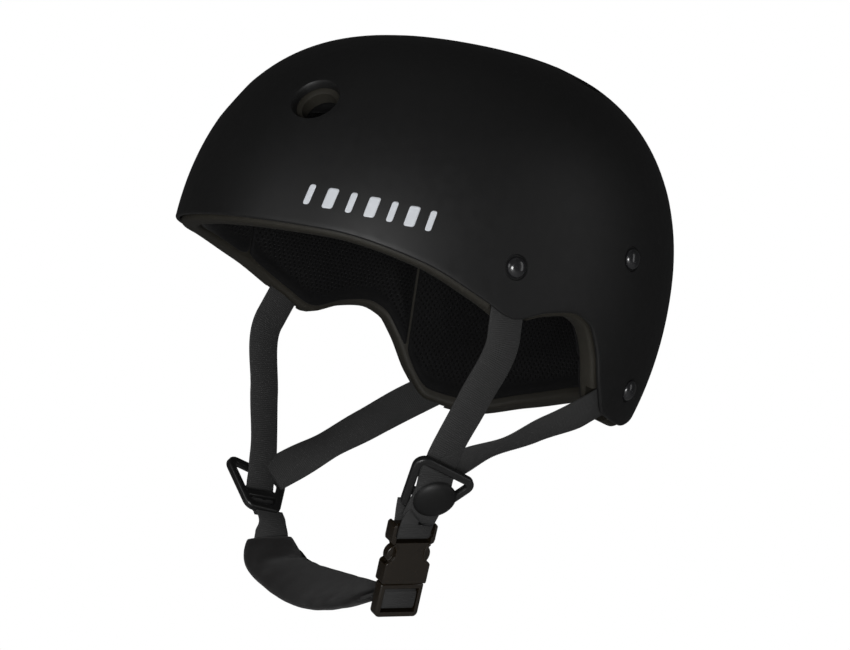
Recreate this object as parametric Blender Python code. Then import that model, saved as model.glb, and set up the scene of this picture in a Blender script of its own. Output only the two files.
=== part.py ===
"""Water-sports helmet: shell, foam liner, pads, riveted webbing harness, side-release buckle and chin pad.

Metres, +Z up. -Y is the front, +X is the wearer's left. The origin is the centre of the head opening
at brow height.
"""
from math import atan2, ceil, cos, pi, radians, sin, sqrt

import bmesh
import bpy
from mathutils import Matrix, Vector

# Shell: a superelliptic plan whose widest level rises and falls around the head.
HALF_WIDTH = 0.1125
FRONT_LENGTH = 0.1517
BACK_LENGTH = 0.1378
PLAN_POWER = 2.132
CROWN_HEIGHT = 0.1155
WIDEST_FRONT = -0.0258
WIDEST_SIDE = 0.0045
WIDEST_BACK = -0.0067
DOME_POWER = 2.129
DOME_ROOT = 2.825
TAPER_FRONT = 0.256
TAPER_SIDE = 0.228
TAPER_BACK = 0.163
SHELL_WALL = 0.0026
# Height of the rim, by azimuth in degrees from the front.
RIM = ((0, -0.0045), (32, -0.0062), (54, -0.0150), (72, -0.0290), (82, -0.0362), (93, -0.0295),
       (102, -0.0268), (108, -0.0305), (113, -0.0420), (119, -0.0620), (126, -0.0760), (140, -0.0795),
       (157, -0.0715), (180, -0.0630))
RIM_SEGMENTS = 46
DOME_RINGS = 12
EAR_AZIMUTH = radians(110)
EAR_CROWDING = 0.45

# Liner and pads, as depths under the outer surface.
LINER_GAP = 0.0009
LINER_WALL = 0.0105
LINER_DROP = 0.0025
PAD_GAP = 0.0012
PAD_WALL = 0.0080
CROWN_PAD_RIM = 0.0720
PAD_EDGE_TURN = 0.12
PAD_EDGE_ROWS = 5
# First and last azimuth in degrees, margin above the rim, and height of the top edge.
FRONT_PAD = (-50, 50, 0.003, 0.040)
SIDE_PAD = (56, 112, 0.003, 0.036)
REAR_PAD = (124, 236, 0.004, 0.012)

# Vents: azimuth, height and radius of each, on the left and on the centre line.
SIDE_VENTS = {"front": (20, 0.0640, 0.0120), "crown": (131, 0.1055, 0.0115), "rear": (158, 0.0560, 0.0115)}
CENTRE_VENT = (0, 0.1130, 0.0110)
VENT_DEPTH = 0.05

# Rivets.
RIVET_HEAD_RADIUS = 0.0058
RIVET_HEAD_HEIGHT = 0.0022
RIVET_SHANK_RADIUS = 0.0024
RIVET_TAIL_RADIUS = 0.0045
RIVET_TAIL_HEIGHT = 0.0010
WASHER_RADIUS = 0.0062
WASHER_WALL = 0.0009
GAP = 0.0003
HOLE_CLEARANCE = 0.0004
POCKET_CLEARANCE = 0.0025
POCKET_DEPTH = 0.0085

# Webbing.
WEB_WIDTH = 0.0200
WEB_THICKNESS = 0.0014
WASHER_GAP = 0.0008
WEB_DEPTH = SHELL_WALL + WASHER_GAP + WASHER_WALL + GAP + WEB_THICKNESS / 2
WEB_JOINT_GAP = 0.0006
CHANNEL_WIDTH = 0.0240
CHANNEL_FLOOR = 0.0042
CHANNEL_DEPTH = 0.0100
STRAP_TAIL = 0.0080
SAMPLE_STEP = 0.0070

# Azimuth and height of each rivet, and of the places where the straps leave the shell's rim.
RIVETS = {"front": (80, -0.0090), "upper_rear": (120, 0.0090), "lower_rear": (135, -0.0600)}
STRAP_EXITS = {
    "left": {"front": (81.5, -0.0400), "rear": (124.0, -0.0735)},
    "right": {"front": (71.5, -0.0415), "rear": (124.0, -0.0765)},
}
EXIT_DEPTH = 0.0062

# Strap dividers: a rounded triangle with a cross bar, under a round cap.
DIVIDER_CENTRES = {"left": (0.0931, -0.0326, -0.1265), "right": (-0.0925, -0.0325, -0.1385)}
DIVIDER_LEAN = radians(40)
DIVIDER_TURN = radians(10)
DIVIDER_OUTLINE = ((-0.0208, 0.0155), (-0.0166, -0.0185), (0.0040, -0.0200), (0.0185, 0.0025))
DIVIDER_CORNER = 0.0050
DIVIDER_BAR = 0.0028
DIVIDER_WALL = 0.0030
STRAP_SHIFTS = {"left": -0.0048, "right": -0.0010}
CAP_SHIFTS = {"left": -0.0025, "right": 0.0}
CROSS_BAR_LEVEL = -0.0090
CROSS_BAR_HALF = 0.0024
CROSS_BAR_REACH = (-0.0170, 0.0095)
CAP_RADIUS = 0.0117
CAP_HEIGHT = 0.0032
CAP_STUD_RADIUS = 0.0022
WEB_OVER_DIVIDER = 0.0027
WEB_BEHIND_DIVIDER = -0.0028
TOP_SLOT_LEVELS = {"left": 0.0040, "right": 0.0025}
STRAP_RISE = 0.69
REAR_STRAP_REACH = {"left": 0.0085, "right": 0.0150}
DIVIDER_EXIT_LEVEL = -0.0225

# Side-release buckle: parting line, direction up the buckle, and sizes.
BUCKLE_CENTRE = Vector((0.0625, -0.0300, -0.1817))
BUCKLE_AXIS = Vector((0.360, -0.162, 0.919)).normalized()
BUCKLE_HALF_WIDTH = 0.0133
BUCKLE_BODY_LENGTH = 0.0350
BUCKLE_HALF_THICKNESS = 0.0042
BUCKLE_CAVITY_HALF = 0.0027
BUCKLE_BAR_HALF_THICKNESS = 0.0020
CLIP_LENGTH = 0.0195
CLIP_HALF_WIDTH = 0.0128
CLIP_HALF_THICKNESS = 0.0030
PRONG_HINGE_LEVEL = 0.0010
PRONG_OFFSET = 0.0092

# Chin loop: an arc about a front-to-back axis, and the pad round it.
CHIN_Y = -0.0320
CHIN_DRIFT = 0.0042
BUCKLE_ALIGN_X = 0.0460
CHIN_CENTRE = (0.0043, 0.0260)
CHIN_RADIUS = 0.2195
PAD_START_X = -0.0635
PAD_END_X = 0.0395
PAD_WIDTH = 0.0340
PAD_THICKNESS = 0.0088
SLEEVE_WIDTH = 0.0230
SLEEVE_HEIGHT = 0.0042
FLAP_WIDTH = 0.0090
FLAP_THICKNESS = 0.0016
CHIN_STRAP_END_X = 0.0455
CHIN_STRAP_GAP = 0.0020
LOOP_OPENING = 0.0028


def clear_scene():
    for item in list(bpy.data.objects):
        bpy.data.objects.remove(item, do_unlink=True)


def plastic(name, colour, roughness, metallic=0.0):
    material = bpy.data.materials.new(name)
    material.use_nodes = True
    shader = material.node_tree.nodes["Principled BSDF"]
    shader.inputs["Base Color"].default_value = (*colour, 1.0)
    shader.inputs["Roughness"].default_value = roughness
    shader.inputs["Metallic"].default_value = metallic
    return material


def add_object(name, bm, material, parent=None, sharp_angle=35):
    """Makes a mesh object from a bmesh that is in world coordinates."""
    bmesh.ops.recalc_face_normals(bm, faces=bm.faces)
    mesh = bpy.data.meshes.new(name)
    bm.to_mesh(mesh)
    bm.free()
    mesh.shade_smooth()
    mesh.set_sharp_from_angle(angle=radians(sharp_angle))
    item = bpy.data.objects.new(name, mesh)
    bpy.context.collection.objects.link(item)
    if material:
        mesh.materials.append(material)
    if parent:
        place = parent.matrix_world.inverted()
        mesh.transform(place)
        item.parent = parent
    return item


def add_pivot(name, matrix, parent=None):
    """An empty on a joint's axis, which the moving pieces are parented to."""
    pivot = bpy.data.objects.new(name, None)
    bpy.context.collection.objects.link(pivot)
    pivot.matrix_world = matrix
    bpy.context.view_layer.update()
    if parent:
        pivot.parent = parent
        pivot.matrix_parent_inverse = parent.matrix_world.inverted()
        bpy.context.view_layer.update()
    return pivot


def cut(item, cutter):
    cutter.hide_render = True
    cutter.display_type = "WIRE"
    hole = item.modifiers.new("cut_" + cutter.name, "BOOLEAN")
    hole.operation = "DIFFERENCE"
    hole.solver = "EXACT"
    hole.object = cutter


def join(item, other):
    other.hide_render = True
    other.display_type = "WIRE"
    union = item.modifiers.new(other.name, "BOOLEAN")
    union.operation = "UNION"
    union.solver = "EXACT"
    union.object = other


def frame_matrix(origin, x_axis, z_axis):
    """A right-handed frame with the given z axis, and its x axis as near as it can be to x_axis."""
    z = Vector(z_axis).normalized()
    y = z.cross(Vector(x_axis)).normalized()
    x = y.cross(z)
    rotation = Matrix((x, y, z)).transposed().to_4x4()
    return Matrix.Translation(Vector(origin)) @ rotation


# ---------------------------------------------------------------- the shell's surface

def blend_round(front, side, back, azimuth):
    mean = (front + back + 2 * side) / 4
    return mean + (front - back) / 2 * cos(azimuth) + (front + back - 2 * side) / 4 * cos(2 * azimuth)


def surface_point(azimuth, height):
    widest = blend_round(WIDEST_FRONT, WIDEST_SIDE, WIDEST_BACK, azimuth)
    taper = blend_round(TAPER_FRONT, TAPER_SIDE, TAPER_BACK, azimuth)
    length = FRONT_LENGTH if cos(azimuth) > 0 else BACK_LENGTH
    plan = (abs(sin(azimuth)) / HALF_WIDTH) ** PLAN_POWER + (abs(cos(azimuth)) / length) ** PLAN_POWER
    radius = plan ** (-1 / PLAN_POWER)
    if height >= widest:
        rise = min((height - widest) / (CROWN_HEIGHT - widest), 1.0)
        radius *= (1 - rise ** DOME_POWER) ** (1 / DOME_ROOT)
    else:
        radius *= sqrt(1 - ((widest - height) / taper) ** 2)
    return Vector((radius * sin(azimuth), -radius * cos(azimuth), height))


def surface_normal(azimuth, height):
    step = 0.002
    along = surface_point(azimuth + step, height) - surface_point(azimuth - step, height)
    up = surface_point(azimuth, height + step) - surface_point(azimuth, height - step)
    return along.cross(up).normalized()


def under_surface(azimuth, height, depth):
    return surface_point(azimuth, height) - surface_normal(azimuth, height) * depth


def rim_height(azimuth):
    """A smooth curve through RIM, level at its high and low points."""
    angle = abs(azimuth) * 180 / pi
    slopes = []
    for i, (here, value) in enumerate(RIM):
        if i in (0, len(RIM) - 1):
            slopes.append(0.0)
            continue
        before = (value - RIM[i - 1][1]) / (here - RIM[i - 1][0])
        after = (RIM[i + 1][1] - value) / (RIM[i + 1][0] - here)
        slopes.append(0.0 if before * after <= 0 else 2 * before * after / (before + after))
    for i in range(len(RIM) - 1):
        (a, low), (b, high) = RIM[i], RIM[i + 1]
        if angle <= b:
            t = (angle - a) / (b - a)
            run = b - a
            return (low * (1 + 2 * t) * (1 - t) ** 2 + slopes[i] * run * t * (1 - t) ** 2
                    + high * t * t * (3 - 2 * t) + slopes[i + 1] * run * t * t * (t - 1))
    return RIM[-1][1]


def crowd(angle):
    """Moves an azimuth so that more of the mesh's columns fall round the ear openings."""
    size = abs(angle)
    shift = sin(2 * (size - EAR_AZIMUTH)) - sin(-2 * EAR_AZIMUTH)
    warped = size - EAR_CROWDING / 2 * shift
    return warped if angle >= 0 else -warped


def dome_skin(bm, rim, segments, rings):
    """An open dome on the outer surface, from the rim up. Returns its vertices."""
    made = bmesh.ops.create_uvsphere(bm, u_segments=segments, v_segments=2 * rings, radius=1.0)
    lower = [v for v in made["verts"] if v.co.z < -1e-4]
    bmesh.ops.delete(bm, geom=lower, context="VERTS")
    for v in bm.verts:
        level = max(v.co.z, 0.0)
        azimuth = crowd(atan2(v.co.x, -v.co.y)) if level < 0.9999 else 0.0
        low = rim(azimuth)
        v.co = surface_point(azimuth, low + (CROWN_HEIGHT - low) * min(level, 1.0))
    bm.normal_update()
    return list(bm.verts)


def dome_solid(rim, outer_depth, inner_depth, segments=RIM_SEGMENTS, rings=DOME_RINGS):
    """A closed wall between two depths under the outer surface."""
    bm = bmesh.new()
    skin = dome_skin(bm, rim, segments, rings)
    if sum(f.normal.z for f in bm.faces) < 0:
        bmesh.ops.reverse_faces(bm, faces=bm.faces)
        bm.normal_update()
    normals = {v: v.normal.copy() for v in skin}
    twin = bmesh.ops.duplicate(bm, geom=bm.verts[:] + bm.edges[:] + bm.faces[:])
    copies = twin["vert_map"]
    for v in skin:
        copies[v].co = v.co - normals[v] * inner_depth
        v.co = v.co - normals[v] * outer_depth
    inner_faces = [f for f in twin["geom"] if isinstance(f, bmesh.types.BMFace)]
    bmesh.ops.reverse_faces(bm, faces=inner_faces)
    rims = [e for e in bm.edges if e.is_boundary]
    bmesh.ops.bridge_loops(bm, edges=rims)
    return bm


# ---------------------------------------------------------------- webbing

def section_frames(points):
    """Frames along a smooth curve through the points, each of which is (place, facing).

    A frame is (place, width direction, thickness direction).
    """
    places = [Vector(place) for place, _ in points]
    facings = [Vector(facing) for _, facing in points]
    spans = [(b - a).length for a, b in zip(places, places[1:])]
    leads = [(b - a) / span for a, b, span in zip(places, places[1:], spans)]
    tangents = [leads[0]]
    for i in range(1, len(places) - 1):
        tangents.append((leads[i - 1] * spans[i] + leads[i] * spans[i - 1]) / (spans[i - 1] + spans[i]))
    tangents.append(leads[-1])
    frames = []
    for i, span in enumerate(spans):
        steps = ceil(span / SAMPLE_STEP)
        for s in range(steps + (1 if i == len(spans) - 1 else 0)):
            t = s / steps
            place = (places[i] * (1 + 2 * t) * (1 - t) ** 2 + tangents[i] * span * t * (1 - t) ** 2
                     + places[i + 1] * t * t * (3 - 2 * t) - tangents[i + 1] * span * t * t * (1 - t))
            ahead = (leads[i] * 6 * t * (1 - t) + tangents[i] * (1 - t) * (1 - 3 * t)
                     + tangents[i + 1] * t * (3 * t - 2))
            across = (facings[i] * (1 - t) + facings[i + 1] * t).cross(ahead).normalized()
            frames.append((place, across, ahead.cross(across).normalized()))
    return frames


def sweep(outline, points):
    """Carries a closed outline, a list of (across, through), along a curve and closes both ends."""
    bm = bmesh.new()
    frames = section_frames(points)

    def put(vertices, frame):
        place, across, through = frame
        for v, (a, t) in zip(vertices, outline):
            v.co = place + across * a + through * t

    first = [bm.verts.new() for _ in outline]
    put(first, frames[0])
    ring = first
    edges = [bm.edges.new((ring[i - 1], ring[i])) for i in range(len(ring))]
    for frame in frames[1:]:
        grown = bmesh.ops.extrude_edge_only(bm, edges=edges)["geom"]
        fresh = {g for g in grown if isinstance(g, bmesh.types.BMVert)}
        edges = [g for g in grown if isinstance(g, bmesh.types.BMEdge) and fresh.issuperset(g.verts)]
        ring = [next(e.other_vert(v) for e in v.link_edges if e.other_vert(v) in fresh) for v in ring]
        put(ring, frame)
    bm.faces.new(first)
    bm.faces.new(ring)
    return bm


def slab(width, thickness):
    return [(width / 2, thickness / 2), (-width / 2, thickness / 2),
            (-width / 2, -thickness / 2), (width / 2, -thickness / 2)]


def oval(width, thickness, corners=6):
    """A flat outline whose two narrow sides are round."""
    radius = thickness / 2
    reach = width / 2 - radius
    turns = [pi * i / corners for i in range(corners + 1)]
    right = [(reach + radius * sin(turn), radius * cos(turn)) for turn in turns]
    return right + [(-a, -t) for a, t in right]


def webbing(name, points, material, parent):
    """A run of webbing. Its faces twist, so they are cut into triangles, which are flat."""
    bm = sweep(slab(WEB_WIDTH, WEB_THICKNESS), points)
    bmesh.ops.triangulate(bm, faces=bm.faces[:])
    return add_object(name, bm, material, parent)


# ---------------------------------------------------------------- flat outlines

def rounded_polygon(corners, radius, steps=4):
    """Rounds each corner of a convex polygon that is given anticlockwise."""
    outline = []
    count = len(corners)
    for i, here in enumerate(corners):
        before = (Vector(corners[i - 1]) - Vector(here)).normalized()
        after = (Vector(corners[(i + 1) % count]) - Vector(here)).normalized()
        half = before.angle(after) / 2
        centre = Vector(here) + (before + after).normalized() * radius / sin(half)
        start = Vector(here) + before * radius * cos(half) / sin(half)
        arm = start - centre
        sweep_angle = pi - 2 * half
        for s in range(steps + 1):
            turn = Matrix.Rotation(sweep_angle * s / steps, 2)
            outline.append(centre + turn @ arm)
    return [tuple(p) for p in outline]


def prism(bm, outline, low, high, frame=None):
    """Extrudes a flat outline between two levels of its frame."""
    face = bm.faces.new([bm.verts.new((x, y, low)) for x, y in outline])
    grown = bmesh.ops.extrude_face_region(bm, geom=[face])["geom"]
    top = [g for g in grown if isinstance(g, bmesh.types.BMVert)]
    bmesh.ops.translate(bm, verts=top, vec=(0, 0, high - low))
    made = list(face.verts) + top
    if frame:
        bmesh.ops.transform(bm, matrix=frame, verts=made)
    return made


def box_outline(x0, x1, y0, y1):
    return [(x0, y0), (x1, y0), (x1, y1), (x0, y1)]


def cutter_prism(name, outline, low, high, frame):
    bm = bmesh.new()
    prism(bm, outline, low, high, frame)
    return add_object(name, bm, None)


def cutter_round(name, radius, low, high, frame, sides=16):
    outline = [(radius * cos(2 * pi * i / sides), radius * sin(2 * pi * i / sides)) for i in range(sides)]
    return cutter_prism(name, outline, low, high, frame)


def turned(bm, profile, frame, sides=16):
    """Spins a profile of (radius, level), which starts and ends on the axis, about the frame's z axis."""
    points = [bm.verts.new((r, 0, z)) for r, z in profile]
    edges = [bm.edges.new(pair) for pair in zip(points, points[1:])]
    bmesh.ops.spin(bm, geom=points + edges, cent=(0, 0, 0), axis=(0, 0, 1), angle=2 * pi, steps=sides,
                   use_merge=True, use_duplicate=False)
    bmesh.ops.remove_doubles(bm, verts=bm.verts, dist=1e-6)
    bmesh.ops.transform(bm, matrix=frame, verts=bm.verts)


def mirrored(side, place):
    return Vector((place[0] * (1 if side == "left" else -1), place[1], place[2]))


# ---------------------------------------------------------------- shell, liner and pads

def surface_frame(azimuth_degrees, height, side="left"):
    """A frame on the outer surface, z outwards and y upwards."""
    azimuth = radians(azimuth_degrees) * (1 if side == "left" else -1)
    normal = surface_normal(azimuth, height)
    place = surface_point(azimuth, height)
    across = Vector((0, 0, 1)).cross(normal)
    return frame_matrix(place, across, normal)


def vent_list():
    vents = {"vent_crown": (CENTRE_VENT, "left")}
    for name, vent in SIDE_VENTS.items():
        for side in ("left", "right"):
            vents[f"vent_{name}_{side}"] = (vent, side)
    return vents


def strap_exit(side, name):
    azimuth, height = STRAP_EXITS[side][name]
    return under_surface(radians(azimuth) * (1 if side == "left" else -1), height, EXIT_DEPTH)


def channel_frame(side, rivet, exit_name):
    """A frame at a strap's rivet: z out of the shell, y towards the strap's exit."""
    azimuth, height = RIVETS[rivet]
    frame = surface_frame(azimuth, height, side)
    place = frame @ Vector((0, 0, -WEB_DEPTH))
    normal = frame.to_3x3() @ Vector((0, 0, 1))
    along = strap_exit(side, exit_name) - place
    return frame_matrix(place, along.cross(normal), normal)


def channel_route(side, rivet, exit_name, tail, beyond):
    """Flat under the rivet, then straight to the exit and on past it."""
    frame = channel_frame(side, rivet, exit_name)
    normal = frame.to_3x3() @ Vector((0, 0, 1))
    bend = frame @ Vector((0, STRAP_TAIL, 0))
    finish = strap_exit(side, exit_name)
    lead = (finish - bend).normalized()
    facing = (normal - lead * normal.dot(lead)).normalized()
    return [(frame @ Vector((0, -tail, 0)), normal), (bend, normal), (finish + lead * beyond, facing)]


def exit_lead(side, rivet, exit_name):
    """The direction in which a strap leaves the shell, and the way its outer side faces there."""
    route = channel_route(side, rivet, exit_name, STRAP_TAIL, 0.0)
    return (route[2][0] - route[1][0]).normalized(), route[2][1]


def build_shell_and_liner(materials):
    shell = add_object("outer_shell", dome_solid(rim_height, 0.0, SHELL_WALL), materials["shell"])
    outer = SHELL_WALL + LINER_GAP
    wall = dome_solid(lambda a: rim_height(a) - LINER_DROP, outer, outer + LINER_WALL)
    liner = add_object("foam_liner", wall, materials["foam"])
    for name, ((azimuth, height, radius), side) in vent_list().items():
        frame = surface_frame(azimuth, height, side)
        vent = cutter_round("cut_" + name, radius, -VENT_DEPTH, 0.01, frame, sides=20)
        cut(shell, vent)
        cut(liner, vent)
    for rivet, (azimuth, height) in RIVETS.items():
        for side in ("left", "right"):
            frame = surface_frame(azimuth, height, side)
            cut(shell, cutter_round(f"cut_hole_{rivet}_{side}", RIVET_SHANK_RADIUS + HOLE_CLEARANCE,
                                    -0.006, 0.004, frame))
            cut(liner, cutter_round(f"cut_pocket_{rivet}_{side}", WASHER_RADIUS + POCKET_CLEARANCE,
                                    -POCKET_DEPTH, 0.002, frame))
    for side in ("left", "right"):
        for rivet, exit_name in (("front", "front"), ("lower_rear", "rear")):
            middle = CHANNEL_DEPTH / 2 - CHANNEL_FLOOR
            outline = [(a, t + middle) for a, t in slab(CHANNEL_WIDTH, CHANNEL_DEPTH)]
            route = channel_route(side, rivet, exit_name, STRAP_TAIL + 0.002, 0.030)
            cut(liner, add_object(f"cut_channel_{exit_name}_{side}", sweep(outline, route), None))
    return shell, liner


def pad_patch(name, extent, sign, material, columns=10, rows=4):
    """A cushion on the liner's inside. The sign is -1 for one on the right."""
    bm = bmesh.new()
    bmesh.ops.create_grid(bm, x_segments=columns, y_segments=rows, size=0.5)
    bm.normal_update()
    inner = {}
    outer_depth = SHELL_WALL + LINER_GAP + LINER_WALL + PAD_GAP
    first, last, margin, top = extent
    start, end = radians(first * sign), radians(last * sign)
    for v in bm.verts:
        s, t = v.co.x + 0.5, v.co.y + 0.5
        azimuth = start + (end - start) * s
        low = rim_height(azimuth if azimuth < pi else azimuth - 2 * pi) + margin
        height = low + (top - low) * t
        side_share = min(s, 1 - s) * abs(end - start) / PAD_EDGE_TURN
        edge = min(side_share, t * PAD_EDGE_ROWS, (1 - t) * PAD_EDGE_ROWS, 1.0)
        wall = PAD_WALL * (0.45 + 0.55 * sin(max(edge, 0.0) * pi / 2))
        v.co = under_surface(azimuth, height, outer_depth)
        inner[v] = under_surface(azimuth, height, outer_depth + wall)
    skin = bm.verts[:]
    twin = bmesh.ops.duplicate(bm, geom=skin + bm.edges[:] + bm.faces[:])
    for v in skin:
        twin["vert_map"][v].co = inner[v]
    copies = [g for g in twin["geom"] if isinstance(g, bmesh.types.BMFace)]
    bmesh.ops.reverse_faces(bm, faces=copies)
    bmesh.ops.bridge_loops(bm, edges=[e for e in bm.edges if e.is_boundary])
    return add_object(name, bm, material)


def build_pads(materials):
    pad_patch("front_pad", FRONT_PAD, 1, materials["mesh"], columns=14)
    pad_patch("side_pad_left", SIDE_PAD, 1, materials["mesh"])
    pad_patch("side_pad_right", SIDE_PAD, -1, materials["mesh"])
    pad_patch("rear_pad", REAR_PAD, 1, materials["mesh"], columns=14)
    depth = SHELL_WALL + LINER_GAP + LINER_WALL + PAD_GAP
    dome = dome_solid(lambda a: CROWN_PAD_RIM, depth, depth + PAD_WALL, segments=18, rings=3)
    crown_pad = add_object("crown_pad", dome, materials["mesh"])
    for vent in ("vent_crown", "vent_crown_left", "vent_crown_right"):
        cut(crown_pad, bpy.data.objects["cut_" + vent])


# ---------------------------------------------------------------- rivets and fixed strap ends

def build_rivets(materials):
    for rivet, (azimuth, height) in RIVETS.items():
        for side in ("left", "right"):
            frame = surface_frame(azimuth, height, side)
            has_strap = rivet != "upper_rear"
            washer_top = -SHELL_WALL - WASHER_GAP
            washer_foot = washer_top - WASHER_WALL
            tail_top = -(WEB_DEPTH + WEB_THICKNESS / 2) - GAP if has_strap else washer_foot - GAP
            dome = [(RIVET_HEAD_RADIUS * sin(a), GAP + RIVET_HEAD_HEIGHT * cos(a))
                    for a in (0, pi / 6, pi / 3, pi / 2 - 0.12)]
            tail_foot = tail_top - RIVET_TAIL_HEIGHT
            profile = dome + [(RIVET_HEAD_RADIUS, GAP), (RIVET_SHANK_RADIUS, GAP),
                              (RIVET_SHANK_RADIUS, tail_top), (RIVET_TAIL_RADIUS, tail_top),
                              (RIVET_TAIL_RADIUS, tail_foot), (0, tail_foot)]
            profile[0] = (0, profile[0][1])
            bm = bmesh.new()
            turned(bm, profile, frame, sides=12)
            add_object(f"rivet_{rivet}_{side}", bm, materials["rivet"])
            bm = bmesh.new()
            outline = [(WASHER_RADIUS * cos(pi * i / 7), WASHER_RADIUS * sin(pi * i / 7)) for i in range(14)]
            prism(bm, outline, washer_foot, washer_top, frame)
            washer = add_object(f"washer_{rivet}_{side}", bm, materials["steel"])
            cut(washer, cutter_round(f"cut_washer_{rivet}_{side}", RIVET_SHANK_RADIUS + HOLE_CLEARANCE,
                                     washer_foot - 0.002, washer_top + 0.002, frame))


def build_strap_ends(materials):
    """The four webbing ends that the rivets hold between the shell and the liner."""
    for side in ("left", "right"):
        for rivet, exit_name in (("front", "front"), ("lower_rear", "rear")):
            route = channel_route(side, rivet, exit_name, STRAP_TAIL, -WEB_JOINT_GAP)
            strap = webbing(f"strap_end_{exit_name}_{side}", route, materials["webbing"], None)
            azimuth, height = RIVETS[rivet]
            hole_frame = surface_frame(azimuth, height, side)
            cut(strap, cutter_round(f"cut_strap_{exit_name}_{side}", RIVET_SHANK_RADIUS + 2 * HOLE_CLEARANCE,
                                    -0.012, 0.0, hole_frame))


# ---------------------------------------------------------------- dividers and the straps that meet there

def divider_frame(side):
    """Local frame of a divider: x towards the back, y up the divider, z outwards."""
    sign = 1 if side == "left" else -1
    up = Vector((sin(DIVIDER_LEAN) * cos(DIVIDER_TURN) * sign, -sin(DIVIDER_LEAN) * sin(DIVIDER_TURN),
                 cos(DIVIDER_LEAN)))
    outward = Vector((cos(DIVIDER_LEAN) * cos(DIVIDER_TURN) * sign, -cos(DIVIDER_LEAN) * sin(DIVIDER_TURN),
                      -sin(DIVIDER_LEAN)))
    back = Vector((sin(DIVIDER_TURN) * sign, cos(DIVIDER_TURN), 0))
    rotation = Matrix((back, up, outward)).transposed().to_4x4()
    return Matrix.Translation(Vector(DIVIDER_CENTRES[side])) @ rotation


def divider_point(side, back, up, outward):
    return divider_frame(side) @ Vector((back, up, outward))


def strap_pivot_line(side):
    front = strap_exit(side, "front")
    return front, (strap_exit(side, "rear") - front).normalized()


def build_divider(side, pivot, materials):
    frame = divider_frame(side)
    half = DIVIDER_WALL / 2
    bm = bmesh.new()
    outline = rounded_polygon(DIVIDER_OUTLINE, DIVIDER_CORNER)
    face = bm.faces.new([bm.verts.new((x, y, -half)) for x, y in outline])
    face.normal_update()
    bmesh.ops.inset_individual(bm, faces=[face], thickness=DIVIDER_BAR, use_even_offset=True)
    bmesh.ops.delete(bm, geom=[face], context="FACES_ONLY")
    grown = bmesh.ops.extrude_face_region(bm, geom=bm.faces[:])["geom"]
    top = [g for g in grown if isinstance(g, bmesh.types.BMVert)]
    bmesh.ops.translate(bm, verts=top, vec=(0, 0, DIVIDER_WALL))
    bmesh.ops.transform(bm, matrix=frame, verts=bm.verts)
    ring = add_object(f"divider_frame_{side}", bm, materials["plastic"], pivot)
    across = box_outline(*CROSS_BAR_REACH, CROSS_BAR_LEVEL - CROSS_BAR_HALF, CROSS_BAR_LEVEL + CROSS_BAR_HALF)
    join(ring, cutter_prism(f"bar_divider_{side}", across, -half * 0.9, half * 0.9, frame))
    bm = bmesh.new()
    under = WEB_OVER_DIVIDER + WEB_THICKNESS / 2 + 2 * GAP
    profile = [(0, under + CAP_HEIGHT)]
    profile += [(CAP_RADIUS * sin(a), under + 0.0012 + (CAP_HEIGHT - 0.0012) * cos(a))
                for a in (pi / 6, pi / 3, pi / 2)]
    profile += [(CAP_RADIUS, under), (CAP_STUD_RADIUS, under), (CAP_STUD_RADIUS, half + GAP), (0, half + GAP)]
    shift = Matrix.Translation((CAP_SHIFTS[side], CROSS_BAR_LEVEL, 0))
    turned(bm, profile, frame @ shift, sides=20)
    add_object(f"divider_cap_{side}", bm, materials["matte_plastic"], pivot)


def front_strap_points(side):
    """From the shell's rim, behind the divider's top bar and out over its cross bar."""
    direction, start_facing = exit_lead(side, "front", "front")
    outward = divider_frame(side).to_3x3() @ Vector((0, 0, 1))
    exit_place = strap_exit(side, "front")
    shift, slot = STRAP_SHIFTS[side], TOP_SLOT_LEVELS[side]
    aim = divider_frame(side).inverted() @ exit_place
    slope = (aim.x - shift) / (aim.y - slot)
    behind = WEB_BEHIND_DIVIDER - 0.0004
    route = [(0.0100, behind - 0.0100 * STRAP_RISE), (0.0050, behind - 0.0050 * STRAP_RISE), (0.0, behind),
             (-0.0040, 0.0), (-0.0095, WEB_OVER_DIVIDER)]
    lower = [(divider_point(side, shift + max(rise, 0.0) * slope, slot + rise, out), outward)
             for rise, out in route]
    lower += [(divider_point(side, shift, level, WEB_OVER_DIVIDER), outward)
              for level in (CROSS_BAR_LEVEL, DIVIDER_EXIT_LEVEL)]
    upper = [(exit_place + direction * run, start_facing) for run in (WEB_JOINT_GAP, 0.0030, 0.0070)]
    middle = (exit_place + direction * 0.012 + lower[0][0]) / 2
    return upper + [(middle, (start_facing + outward * 0.6).normalized())] + lower


def rear_strap_points(side):
    """From the lobe behind the ear, twisting, to behind the divider."""
    direction, start_facing = exit_lead(side, "lower_rear", "rear")
    outward = divider_frame(side).to_3x3() @ Vector((0, 0, 1))
    exit_place = strap_exit(side, "rear")
    finish = divider_point(side, REAR_STRAP_REACH[side], 0.0020, WEB_BEHIND_DIVIDER)
    lead = (exit_place - finish).normalized()
    near = finish + lead * 0.012
    start = exit_place + direction * 0.007
    twisted = (outward + Vector((0, 0, -1)) * 0.7).normalized()
    upper = [(exit_place + direction * run, start_facing) for run in (WEB_JOINT_GAP, 0.0030, 0.0070)]
    return upper + [
        ((start * 2 + near) / 3, (start_facing + twisted).normalized()),
        ((start + near * 2) / 3, twisted),
        (near, outward),
        (finish + lead * 0.005, outward),
        (finish, outward),
    ]


def build_side_straps(side, pivot, materials):
    front = webbing(f"front_strap_{side}", front_strap_points(side), materials["webbing"], pivot)
    frame = divider_frame(side) @ Matrix.Translation((CAP_SHIFTS[side], CROSS_BAR_LEVEL, 0))
    cut(front, cutter_round(f"cut_stud_{side}", CAP_STUD_RADIUS + HOLE_CLEARANCE, 0.0, 0.006, frame))
    webbing(f"rear_strap_{side}", rear_strap_points(side), materials["webbing"], pivot)
    build_divider(side, pivot, materials)


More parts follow.
